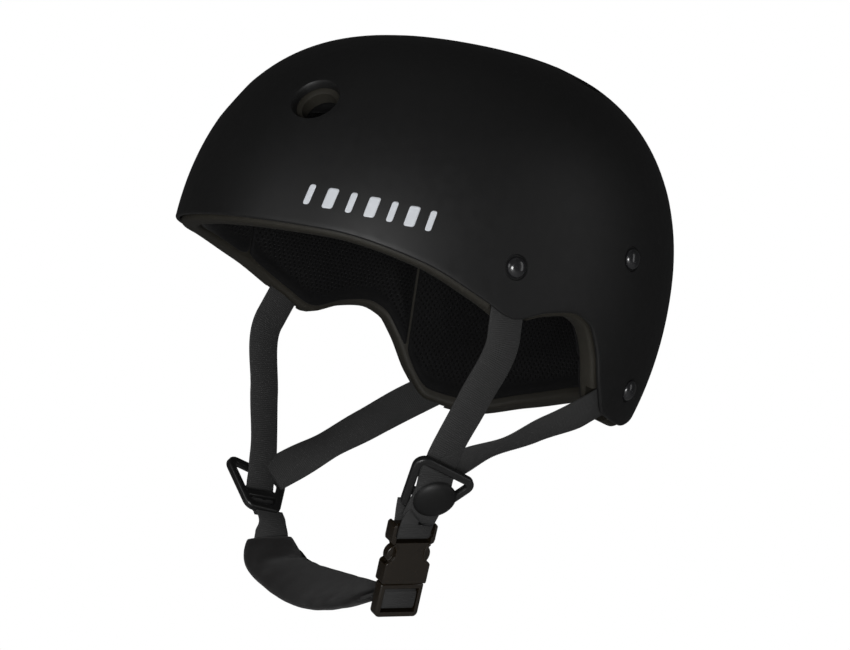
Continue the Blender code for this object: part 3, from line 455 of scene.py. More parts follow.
def combine(item: bpy.types.Object, tool: bmesh.types.BMesh, operation: str, sharp: float = 38.0) -> None:
    """Cuts an object with a closed mesh, or unites them."""
    bmesh.ops.recalc_face_normals(tool, faces=tool.faces)
    mesh = bpy.data.meshes.new("tool")
    tool.to_mesh(mesh)
    tool.free()
    other = bpy.data.objects.new("tool", mesh)
    bpy.context.scene.collection.objects.link(other)
    change = item.modifiers.new("change", "BOOLEAN")
    change.operation = operation
    change.solver = "EXACT"
    change.object = other
    bake_modifiers(item)
    bpy.data.objects.remove(other)
    bm = bmesh.new()
    bm.from_mesh(item.data)
    bmesh.ops.remove_doubles(bm, verts=bm.verts, dist=WELD)
    bmesh.ops.dissolve_degenerate(bm, dist=WELD, edges=bm.edges)
    bmesh.ops.holes_fill(bm, edges=[e for e in bm.edges if e.is_boundary], sides=0)
    store(bm, item, sharp)


def frame_matrix(origin: Vector, x_axis: Vector, z_axis: Vector) -> Matrix:
    """A right-handed frame with the given z axis, and its x axis as near as it can be to x_axis."""
    z = Vector(z_axis).normalized()
    y = z.cross(Vector(x_axis)).normalized()
    rotation = Matrix((y.cross(z), y, z)).transposed().to_4x4()
    return Matrix.Translation(Vector(origin)) @ rotation


def turned(bm: bmesh.types.BMesh, profile: Sequence, place: Matrix, sides: int = 40) -> None:
    """Spins a profile of (radius, level) about a frame's z axis and closes what is open."""
    solid = bmesh.new()
    points = [solid.verts.new((r, 0, z)) for r, z in profile]
    edges = [solid.edges.new(pair) for pair in zip(points, points[1:])]
    bmesh.ops.spin(solid, geom=points + edges, cent=(0, 0, 0), axis=(0, 0, 1), angle=2 * pi, steps=sides,
                   use_merge=True, use_duplicate=False)
    bmesh.ops.remove_doubles(solid, verts=solid.verts, dist=1e-6)
    bmesh.ops.holes_fill(solid, edges=[e for e in solid.edges if e.is_boundary], sides=0)
    bmesh.ops.transform(solid, matrix=place, verts=solid.verts)
    add_mesh(bm, solid)


def prism(bm: bmesh.types.BMesh, outline: Outline, low: float, high: float, place: Matrix,
          rounding: float = 0.0, segments: int = 3) -> None:
    """Extrudes a flat outline between two levels of a frame and rounds its edges."""
    solid = bmesh.new()
    face = solid.faces.new([solid.verts.new((x, y, low)) for x, y in outline])
    grown = bmesh.ops.extrude_face_region(solid, geom=[face])["geom"]
    top = [g for g in grown if isinstance(g, bmesh.types.BMVert)]
    bmesh.ops.translate(solid, verts=top, vec=(0, 0, high - low))
    bmesh.ops.recalc_face_normals(solid, faces=solid.faces)
    if rounding:
        crisp = [e for e in solid.edges if e.calc_face_angle(0.0) > radians(28)]
        bmesh.ops.bevel(solid, geom=crisp, offset=rounding, segments=segments, profile=0.5, affect="EDGES",
                        clamp_overlap=True, material=-1)
    bmesh.ops.transform(solid, matrix=place, verts=solid.verts)
    add_mesh(bm, solid)


def add_mesh(bm: bmesh.types.BMesh, other: bmesh.types.BMesh) -> None:
    """Adds another bmesh's geometry to one and frees the other."""
    mesh = bpy.data.meshes.new("part")
    other.to_mesh(mesh)
    other.free()
    bm.from_mesh(mesh)
    bpy.data.meshes.remove(mesh)


def box_outline(x0: float, x1: float, y0: float, y1: float) -> Outline:
    """A rectangle, anticlockwise."""
    return [(x0, y0), (x1, y0), (x1, y1), (x0, y1)]


def both_sides(half: Outline) -> Outline:
    """A closed outline from its right half, which is listed upwards."""
    return half + [(-x, y) for x, y in reversed(half)]


def rounded_polygon(corners: Sequence, radius: float, steps: int = 7) -> Outline:
    """Rounds each corner of a convex polygon that is given anticlockwise."""
    outline = []
    for i, here in enumerate(corners):
        before = (Vector(corners[i - 1]) - Vector(here)).normalized()
        after = (Vector(corners[(i + 1) % len(corners)]) - Vector(here)).normalized()
        half = before.angle(after) / 2
        centre = Vector(here) + (before + after).normalized() * radius / sin(half)
        arm = Vector(here) + before * radius * cos(half) / sin(half) - centre
        for s in range(steps + 1):
            outline.append(tuple(centre + Matrix.Rotation((pi - 2 * half) * s / steps, 2) @ arm))
    return outline


def tube(outline: Outline, sections: Sequence[Section], closed: bool = True,
         shape: Optional[Callable[[int, float, float], tuple[float, float]]] = None) -> bmesh.types.BMesh:
    """Carries a closed outline along sections.

    Args:
        outline: points of (across, through).
        sections: places with their across and through directions.
        closed: whether both ends are filled.
        shape: given a section's number, across and through, returns those to use there.
    Returns:
        A bmesh with UVs in metres, u along and v round.
    """
    bm = bmesh.new()
    uv = bm.loops.layers.uv.new("UVMap")
    last, around = len(sections) - 1, len(outline)
    bmesh.ops.create_grid(bm, x_segments=last, y_segments=around, size=0.5, calc_uvs=True)
    length = sum((b[0] - a[0]).length for a, b in zip(sections, sections[1:]))
    girth = sum((Vector(a) - Vector(b)).length for a, b in zip(outline, outline[1:] + outline[:1]))
    for face in bm.faces:
        for loop in face.loops:
            co = loop.vert.co
            loop[uv].uv = ((co.x + 0.5) * length, (co.y + 0.5) * girth)
    for v in bm.verts:
        i = round((v.co.x + 0.5) * last)
        a, t = outline[round((v.co.y + 0.5) * around) % around]
        if shape:
            a, t = shape(i, a, t)
        place, across, through = sections[i]
        v.co = place + across * a + through * t
    bmesh.ops.remove_doubles(bm, verts=bm.verts, dist=1e-6)
    if closed:
        bmesh.ops.holes_fill(bm, edges=[e for e in bm.edges if e.is_boundary], sides=0)
    return bm


def sections_along(points: Route, step: float) -> list[Section]:
    """Evenly spaced sections along a smooth curve through points, each of which is (place, facing)."""
    places = [Vector(place) for place, _ in points]
    facings = [Vector(facing) for _, facing in points]
    spans = [(b - a).length for a, b in zip(places, places[1:])]
    leads = [(b - a) / span for a, b, span in zip(places, places[1:], spans)]
    tangents = [leads[0]]
    for i in range(1, len(places) - 1):
        tangents.append((leads[i - 1] * spans[i] + leads[i] * spans[i - 1]) / (spans[i - 1] + spans[i]))
    tangents.append(leads[-1])
    fine: list[Section] = []
    for i, span in enumerate(spans):
        steps = max(ceil(span / step) * 3, 3)
        for s in range(steps + (1 if i == len(spans) - 1 else 0)):
            t = s / steps
            place = (places[i] * (1 + 2 * t) * (1 - t) ** 2 + tangents[i] * span * t * (1 - t) ** 2
                     + places[i + 1] * t * t * (3 - 2 * t) - tangents[i + 1] * span * t * t * (1 - t))
            ahead = (leads[i] * 6 * t * (1 - t) + tangents[i] * (1 - t) * (1 - 3 * t)
                     + tangents[i + 1] * t * (3 * t - 2))
            turn = t * t * (3 - 2 * t)
            across = (facings[i] * (1 - turn) + facings[i + 1] * turn).cross(ahead).normalized()
            fine.append((place, across, ahead.cross(across).normalized()))
    even, travelled = [fine[0]], 0.0
    for a, b in zip(fine, fine[1:]):
        gap = (b[0] - a[0]).length
        while gap > 0 and len(even) * step <= travelled + gap:
            w = (len(even) * step - travelled) / gap
            even.append((a[0].lerp(b[0], w), a[1].lerp(b[1], w).normalized(),
                         a[2].lerp(b[2], w).normalized()))
        travelled += gap
    return even


def webbing(name: str, points: Route) -> bpy.types.Object:
    """Ribbed webbing along a route, with rolled edges."""
    half, thick = WEB_WIDTH / 2, WEB_THICKNESS / 2
    top = [(half - 0.0001, thick * 0.55), (half - 0.0005, thick), (0.0, thick),
           (-half + 0.0005, thick), (-half + 0.0001, thick * 0.55)]
    outline = [(half, 0.0)] + top + [(-half, 0.0)] + [(-a, -t) for a, t in top]

    def rib(i: int, a: float, t: float) -> tuple[float, float]:
        lift = RIB_HEIGHT * RIB_SHAPE[i % len(RIB_SHAPE)] * (1 if abs(t) >= thick else 0.3)
        return (a, t + (lift if t > 0 else -lift if t < 0 else 0.0))

    bm = tube(outline, sections_along(points, RIB_PITCH / len(RIB_SHAPE)), shape=rib)
    return finish_mesh(name, bm, WEBBING, sharp=70)


def attach(piece: bpy.types.Object, body: str, slot: str, *nodes: str) -> None:
    """Sets the body that a piece rides on and hides the CAD nodes that it stands for. The slot is not used.
    """
    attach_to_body(piece, body)
    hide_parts(*nodes)


# ---------------------------------------------------------------- the shell's surface

def blend_round(values: tuple[float, float, float], azimuth: float) -> float:
    """Blends a front, side and back value round the head."""
    front, side, back = values
    mean = (front + back + 2 * side) / 4
    return mean + (front - back) / 2 * cos(azimuth) + (front + back - 2 * side) / 4 * cos(2 * azimuth)


def surface_point(azimuth: float, height: float) -> Vector:
    """A point on the shell's outer surface."""
    widest, taper = blend_round(WIDEST, azimuth), blend_round(TAPER, azimuth)
    length = FRONT_LENGTH if cos(azimuth) > 0 else BACK_LENGTH
    plan = (abs(sin(azimuth)) / HALF_WIDTH) ** PLAN_POWER + (abs(cos(azimuth)) / length) ** PLAN_POWER
    radius = plan ** (-1 / PLAN_POWER)
    if height >= widest:
        rise = min((height - widest) / (CROWN_HEIGHT - widest), 1.0)
        radius *= (1 - rise ** DOME_POWER) ** (1 / DOME_ROOT)
    else:
        radius *= sqrt(1 - ((widest - height) / taper) ** 2)
    return Vector((radius * sin(azimuth), -radius * cos(azimuth), height))


def surface_normal(azimuth: float, height: float) -> Vector:
    """The outward direction at a point of the surface."""
    along = surface_point(azimuth + NORMAL_STEP, height) - surface_point(azimuth - NORMAL_STEP, height)
    up = surface_point(azimuth, height + NORMAL_STEP) - surface_point(azimuth, height - NORMAL_STEP)
    return along.cross(up).normalized()


def under_surface(azimuth: float, height: float, depth: float) -> Vector:
    """A point some way under the outer surface."""
    return surface_point(azimuth, height) - surface_normal(azimuth, height) * depth


def surface_frame(azimuth_degrees: float, height: float, sign: int = 1) -> Matrix:
    """A frame on the outer surface, z outwards and y upwards."""
    azimuth = radians(azimuth_degrees) * sign
    normal = surface_normal(azimuth, height)
    return frame_matrix(surface_point(azimuth, height), Vector((0, 0, 1)).cross(normal), normal)


def rim_height(azimuth: float) -> float:
    """The height of the shell's rim, a smooth curve through RIM."""
    angle = min(abs(degrees(azimuth)), 360 - abs(degrees(azimuth)))
    slopes = []
    for i, (here, value) in enumerate(RIM):
        if i in (0, len(RIM) - 1):
            slopes.append(0.0)
            continue
        before = (value - RIM[i - 1][1]) / (here - RIM[i - 1][0])
        after = (RIM[i + 1][1] - value) / (RIM[i + 1][0] - here)
        slopes.append(0.0 if before * after <= 0 else 2 * before * after / (before + after))
    for i in range(len(RIM) - 1):
        (a, low), (b, high) = RIM[i], RIM[i + 1]
        if angle <= b:
            t, run = (angle - a) / (b - a), b - a
            return (low * (1 + 2 * t) * (1 - t) ** 2 + slopes[i] * run * t * (1 - t) ** 2
                    + high * t * t * (3 - 2 * t) + slopes[i + 1] * run * t * t * (t - 1))
    return RIM[-1][1]


def crowd(angle: float) -> float:
    """Moves an azimuth so that more columns fall round the ear openings."""
    size = abs(angle)
    warped = size - EAR_CROWDING / 2 * (sin(2 * (size - EAR_AZIMUTH)) - sin(-2 * EAR_AZIMUTH))
    return warped if angle >= 0 else -warped


def dome_wall(rim: Callable[[float], float], depths: tuple[float, float], columns: int, rings: int,
              rounding: float) -> bmesh.types.BMesh:
    """A closed wall between two depths under the outer surface, with a rounded rim."""
    bm = bmesh.new()
    bmesh.ops.create_uvsphere(bm, u_segments=columns, v_segments=2 * rings, radius=1.0)
    bmesh.ops.delete(bm, geom=[v for v in bm.verts if v.co.z < -1e-4], context="VERTS")
    for v in bm.verts:
        level = min(max(v.co.z, 0.0), 1.0)
        azimuth = crowd(atan2(v.co.x, -v.co.y)) if level < 0.99999 else 0.0
        low = rim(azimuth)
        v.co = surface_point(azimuth, low + (CROWN_HEIGHT - low) * level)
    bm.normal_update()
    if sum(f.normal.z for f in bm.faces) < 0:
        bmesh.ops.reverse_faces(bm, faces=bm.faces)
        bm.normal_update()
    skin = list(bm.verts)
    normals = {v: v.normal.copy() for v in skin}
    twin = bmesh.ops.duplicate(bm, geom=bm.verts[:] + bm.edges[:] + bm.faces[:])
    for v in skin:
        twin["vert_map"][v].co = v.co - normals[v] * depths[1]
        v.co = v.co - normals[v] * depths[0]
    bmesh.ops.reverse_faces(bm, faces=[f for f in twin["geom"] if isinstance(f, bmesh.types.BMFace)])
    rims = [e for e in bm.edges if e.is_boundary]
    bmesh.ops.bridge_loops(bm, edges=rims)
    bmesh.ops.bevel(bm, geom=rims, offset=rounding, segments=4, profile=0.5, affect="EDGES",
                    clamp_overlap=True, material=-1)
    return bm


# ---------------------------------------------------------------- shell and liner

@dataclass
class Shell:
    """The hard shell, the foam liner inside it, the rivets and the printed mark."""

    def build(self) -> None:
        """Makes every piece of it."""
        self.hard_shell()
        self.liner()
        self.rivets()
        self.mark()

    def vent_tool(self, profile: Sequence) -> bmesh.types.BMesh:
        """One mesh with a turned cutter at every vent."""
        bm = bmesh.new()
        for azimuth, height, sign in VENTS:
            turned(bm, profile, surface_frame(azimuth, height, sign), sides=VENT_SIDES)
        return bm

    def hard_shell(self) -> None:
        """The outer shell, with flared vents and a shallow dish round each rivet."""
        wall = dome_wall(rim_height, (0.0, SHELL_WALL), SHELL_COLUMNS, SHELL_RINGS, RIM_ROUNDING)
        shell = finish_mesh("shell", wall, SHELL_PAINT)
        radius, top, foot = VENT_BOSS
        combine(shell, self.vent_tool([(0, top), (radius, top), (radius, foot), (0, foot)]), "UNION")
        outline = [(0, VENT_PROFILE[0][1]), *VENT_PROFILE, (0, VENT_PROFILE[-1][1])]
        combine(shell, self.vent_tool(outline), "DIFFERENCE")
        dishes = bmesh.new()
        for azimuth, height in RIVETS.values():
            for side in Side:
                profile = [(0, RIVET_DISH[0][1]), *RIVET_DISH, *RIVET_HOLE]
                turned(dishes, profile, surface_frame(azimuth, height, side.value), sides=40)
        combine(shell, dishes, "DIFFERENCE", sharp=32)
        attach(shell, "shell", "shell_black", "outer_shell")

    def liner(self) -> None:
        """The foam, with its vents, rivet pockets and strap channels."""
        wall = dome_wall(lambda a: rim_height(a) - LINER_DROP, (LINER_DEPTH, LINER_DEPTH + LINER_WALL),
                         LINER_COLUMNS, LINER_RINGS, LINER_ROUNDING)
        liner = finish_mesh("foam_liner", wall, FOAM)
        tool = self.vent_tool(LINER_VENT_PROFILE)
        for azimuth, height in RIVETS.values():
            for side in Side:
                turned(tool, RIVET_POCKET, surface_frame(azimuth, height, side.value), sides=24)
        combine(liner, tool, "DIFFERENCE")
        middle = CHANNEL_DEPTH / 2 - CHANNEL_FLOOR
        wide, high = CHANNEL_WIDTH / 2, CHANNEL_DEPTH / 2
        outline = [(wide, middle + high), (-wide, middle + high), (-wide, middle - high),
                   (wide, middle - high)]
        for side in Side:
            for rivet, exit_name in (("front", "front"), ("lower_rear", "rear")):
                route = channel_route(side, rivet, exit_name, STRAP_TAIL + 0.002, 0.030)
                combine(liner, tube(outline, sections_along(route, 0.004)), "DIFFERENCE")
        attach(liner, "shell", "foam_black", "foam_liner")

    def rivets(self) -> None:
        """Domed black heads on their shanks."""
        for name, (azimuth, height) in RIVETS.items():
            for side in Side:
                grip = WEB_DEPTH + WEB_THICKNESS / 2 + GAP if name != "upper_rear" else UPPER_RIVET_GRIP
                foot = -grip - RIVET_TAIL_WALL
                profile = [*RIVET_HEAD, (RIVET_SHANK_RADIUS, -grip), (RIVET_TAIL_RADIUS, -grip),
                           (RIVET_TAIL_RADIUS, foot), (0, foot)]
                bm = bmesh.new()
                turned(bm, profile, surface_frame(azimuth, height, side.value), sides=48)
                rivet = finish_mesh(f"rivet_head_{name}_{side.word}", bm, RIVET_METAL, sharp=30)
                attach(rivet, "shell", "rivet_black", f"rivet_{name}_{side.word}")

    def mark(self) -> None:
        """A row of printed slanted bars on the left temple."""
        bm = bmesh.new()
        first, step, level, drop = MARK
        for k in range(MARK_BARS):
            grid = bmesh.new()
            bmesh.ops.create_grid(grid, x_segments=MARK_COLUMNS, y_segments=MARK_ROWS, size=1.0)
            half_width = MARK_HALF_WIDTHS[k % 2]
            place = surface_frame(first + step * k, level - drop * k)
            for v in grid.verts:
                x, y = v.co.x * half_width, v.co.y * MARK_HALF_HEIGHT
                cx = max(abs(x) - half_width + MARK_CORNER, 0.0)
                cy = max(abs(y) - MARK_HALF_HEIGHT + MARK_CORNER, 0.0)
                reach = sqrt(cx * cx + cy * cy)
                if reach > MARK_CORNER:
                    x -= (cx - cx * MARK_CORNER / reach) * (1 if x > 0 else -1)
                    y -= (cy - cy * MARK_CORNER / reach) * (1 if y > 0 else -1)
                flat = place @ Vector((x + y * MARK_SLANT, y, 0))
                v.co = under_surface(atan2(flat.x, -flat.y), flat.z, -MARK_LIFT)
            add_mesh(bm, grid)
        bmesh.ops.recalc_face_normals(bm, faces=bm.faces)
        piece = finish_mesh("printed_bars", bm, PRINT)
        thick = piece.modifiers.new("thickness", "SOLIDIFY")
        thick.thickness = MARK_WALL
        thick.offset = -1.0
        bake_modifiers(piece)
        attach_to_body(piece, "shell")


def strap_exit(side: Side, name: str) -> Vector:
    """Where a strap leaves the shell's rim."""
    azimuth, height = STRAP_EXITS[side.word][name]
    return under_surface(radians(azimuth) * side.value, height, EXIT_DEPTH)


def channel_route(side: Side, rivet: str, exit_name: str, tail: float, beyond: float) -> Route:
    """A strap's way: flat under the rivet, then straight to the exit and on past it."""
    azimuth, height = RIVETS[rivet]
    base = surface_frame(azimuth, height, side.value)
    normal = base.to_3x3() @ Vector((0, 0, 1))
    start = base @ Vector((0, 0, -WEB_DEPTH))
    along = strap_exit(side, exit_name) - start
    place = frame_matrix(start, along.cross(normal), normal)
    bend = place @ Vector((0, STRAP_TAIL, 0))
    finish = strap_exit(side, exit_name)
    lead = (finish - bend).normalized()
    facing = (normal - lead * normal.dot(lead)).normalized()
    return [(place @ Vector((0, -tail, 0)), normal), (bend, normal), (finish + lead * beyond, facing)]


# ---------------------------------------------------------------- pads

@dataclass
class Cushion:
    """A foam-filled pad. Its attributes are the shares across it, and how far the open mesh shows."""

    name: str
    body: str
    nodes: tuple[str, ...]
    slot: str
    finish: Finish
    cap: float = 0.0012
    pressure: float = 4.0

    def fill(self, bm: bmesh.types.BMesh, pinned: set[int]) -> bpy.types.Object:
        """Fills the cushion by a short cloth simulation.

        Args:
            bm: the sewn, empty form.
            pinned: indices of the vertices that don't move.
        Returns:
            The object, filled and subdivided once.
        """
        item = finish_mesh(self.name, bm, self.finish, sharp=180)
        self.simulate(item, pinned)
        smooth = item.modifiers.new("smooth", "SUBSURF")
        smooth.levels = smooth.render_levels = 1
        bake_modifiers(item)
        item.data.shade_smooth()
        attach(item, self.body, self.slot, *self.nodes)
        return item

    def simulate(self, item: bpy.types.Object, pinned: set[int]) -> None:
        """Runs the cloth and limits how far each point moved."""
        rest = [v.co.copy() for v in item.data.vertices]
        group = item.vertex_groups.new(name="sewn")
        group.add(sorted(pinned), 1.0, "REPLACE")
        cloth = item.modifiers.new("fill", "CLOTH")
        settings = cloth.settings
        settings.quality = 4
        settings.mass = 0.2
        settings.use_pressure = True
        settings.uniform_pressure_force = self.pressure
        settings.vertex_group_mass = "sewn"
        settings.effector_weights.gravity = 0.0
        cloth.collision_settings.use_collision = False
        cloth.point_cache.frame_start, cloth.point_cache.frame_end = 1, CLOTH_FRAMES
        scene = bpy.context.scene
        for number in range(1, CLOTH_FRAMES + 1):
            scene.frame_set(number)
        bake_modifiers(item)
        scene.frame_set(1)
        item.vertex_groups.clear()
        for v, start in zip(item.data.vertices, rest):
            move = v.co - start
            if move.length > self.cap:
                v.co = start + move.normalized() * self.cap


def pad_wall(border: float) -> float:
    """A pad's thickness at some distance from its outline: a flat hem, a seam, then the cushion."""
    swell = min(max((border - PAD_BORDER) / PAD_SWELL, 0.0), 1.0)
    hem = min(border / PAD_HEM, 1.0)
    seam = PAD_SEAM_DEPTH * max(0.0, 1 - abs(border - PAD_BORDER) / PAD_SEAM_WIDTH)
    edge = PAD_EDGE_WALL * (0.45 + 0.55 * sin(hem * pi / 2))
    return edge + (PAD_WALL - PAD_EDGE_WALL) * sin(swell * pi / 2) - seam


def side_cushion(name: str, nodes: tuple[str, ...], extent: tuple, sign: int) -> None:
    """A pad on the liner's inside between two azimuths, above the rim."""
    first, last, margin, top = extent
    start, end = radians(first * sign), radians(last * sign)
    arc = abs(end - start) * LINER_GIRTH_RADIUS
    bm = bmesh.new()
    bmesh.ops.create_grid(bm, x_segments=round(arc / PAD_CELL), y_segments=PAD_ROWS, size=0.5)
    share = bm.verts.layers.float.new("mesh_share")
    uv = bm.loops.layers.uv.new("UVMap")
    inner = {}
    places = {}
    for v in bm.verts:
        s, t = v.co.x + 0.5, v.co.y + 0.5
        azimuth = start + (end - start) * s
        low = rim_height(azimuth) + margin
        tall = top - low
        side_gap, end_gap = min(s, 1 - s) * arc + SIDE_HEM, min(t, 1 - t) * tall
        if side_gap < PAD_CORNER and end_gap < PAD_CORNER:
            a, b = PAD_CORNER - side_gap, PAD_CORNER - end_gap
            border = PAD_CORNER - sqrt(a * a + b * b)
            if border < 0:
                pull = -border / sqrt(a * a + b * b)
                s += pull * a / arc * (1 if s < 0.5 else -1)
                t += pull * b / tall * (1 if t < 0.5 else -1)
                azimuth = start + (end - start) * s
                border = 0.0
        else:
            border = min(side_gap, end_gap)
        low = rim_height(azimuth) + margin
        height = low + (top - low) * t
        v.co = under_surface(azimuth, height, PAD_DEPTH)
        inner[v] = under_surface(azimuth, height, PAD_DEPTH + pad_wall(max(border, 0.0)))
        v[share] = min(max((border - PAD_BORDER + MESH_EDGE) / (2 * MESH_EDGE), 0.0), 1.0)
        places[v] = (s * arc, height)
    for face in bm.faces:
        for loop in face.loops:
            loop[uv].uv = places[loop.vert]
    skin = bm.verts[:]
    twin = bmesh.ops.duplicate(bm, geom=skin + bm.edges[:] + bm.faces[:])
    for v in skin:
        twin["vert_map"][v].co = inner[v]
    bmesh.ops.reverse_faces(bm, faces=[g for g in twin["geom"] if isinstance(g, bmesh.types.BMFace)])
    bmesh.ops.bridge_loops(bm, edges=[e for e in bm.edges if e.is_boundary])
    bm.verts.index_update()
    pinned = {v.index for v in skin}
    pinned |= {twin["vert_map"][v].index for v in skin if v[share] < 0.5}
    Cushion(name, "shell", nodes, "pad_mesh_black", AIR_MESH).fill(bm, pinned)


def crown_cushion() -> None:
    """The pad in the top of the shell, cut away under its vents."""
    depths = (PAD_DEPTH, PAD_DEPTH + CROWN_PAD_WALL)
    bm = dome_wall(lambda _: CROWN_PAD_RIM, depths, 72, 12, CROWN_PAD_ROUNDING)
    item = finish_mesh("crown_hollow", bm, AIR_MESH)
    holes = bmesh.new()
    for azimuth, height, sign in VENTS:
        if height > CROWN_VENT_HEIGHT:
            turned(holes, CROWN_HOLE, surface_frame(azimuth, height, sign), sides=32)
    combine(item, holes, "DIFFERENCE")
    remesh = item.modifiers.new("even", "REMESH")
    remesh.mode = "VOXEL"
    remesh.voxel_size = CROWN_VOXEL
    bake_modifiers(item)
    bm = bmesh.new()
    bm.from_mesh(item.data)
    bpy.data.objects.remove(item)
    share = bm.verts.layers.float.new("mesh_share")
    uv = bm.loops.layers.uv.new("UVMap")
    low = min(v.co.z for v in bm.verts)
    for v in bm.verts:
        v[share] = 1.0 if v.co.z > low + CROWN_MESH_RISE else 0.0
    for face in bm.faces:
        for loop in face.loops:
            loop[uv].uv = (loop.vert.co.x, loop.vert.co.y)
    bm.normal_update()
    pinned = {v.index for v in bm.verts if v.normal.z > 0 or v.co.z < low + CROWN_SEWN_RISE}
    Cushion("crown_cushion", "shell", ("crown_pad",), "pad_mesh_black", AIR_MESH).fill(bm, pinned)


def build_pads() -> None:
    """All the pads inside the helmet."""
    side_cushion("front_cushion", ("front_pad",), FRONT_PAD, 1)
    for side in Side:
        side_cushion(f"side_cushion_{side.word}", (f"side_pad_{side.word}",), SIDE_PAD, side.value)
    side_cushion("rear_cushion", ("rear_pad",), REAR_PAD, 1)
    crown_cushion()


# ---------------------------------------------------------------- harness

def divider_frame(side: Side) -> Matrix:
    """A divider's frame: x towards the back, y up it, z outwards."""
    sign = side.value
    up = Vector((sin(DIVIDER_LEAN) * cos(DIVIDER_TURN) * sign, -sin(DIVIDER_LEAN) * sin(DIVIDER_TURN),
                 cos(DIVIDER_LEAN)))
    outward = Vector((cos(DIVIDER_LEAN) * cos(DIVIDER_TURN) * sign, -cos(DIVIDER_LEAN) * sin(DIVIDER_TURN),
                      -sin(DIVIDER_LEAN)))
    back = Vector((sin(DIVIDER_TURN) * sign, cos(DIVIDER_TURN), 0))
    rotation = Matrix((back, up, outward)).transposed().to_4x4()
    return Matrix.Translation(Vector(DIVIDER_CENTRES[side.word])) @ rotation


def buckle_frame() -> Matrix:
    """The buckle's frame: x towards the back, y up it, z outwards."""
    across = (Vector((0, 1, 0)) - BUCKLE_AXIS * BUCKLE_AXIS.y).normalized()
    rotation = Matrix((across, BUCKLE_AXIS, across.cross(BUCKLE_AXIS))).transposed().to_4x4()
    return Matrix.Translation(BUCKLE_CENTRE) @ rotation


def buckle_point(across: float, along: float, outward: float) -> Vector:
    """A point in the buckle's frame."""
    return buckle_frame() @ Vector((across, along, outward))


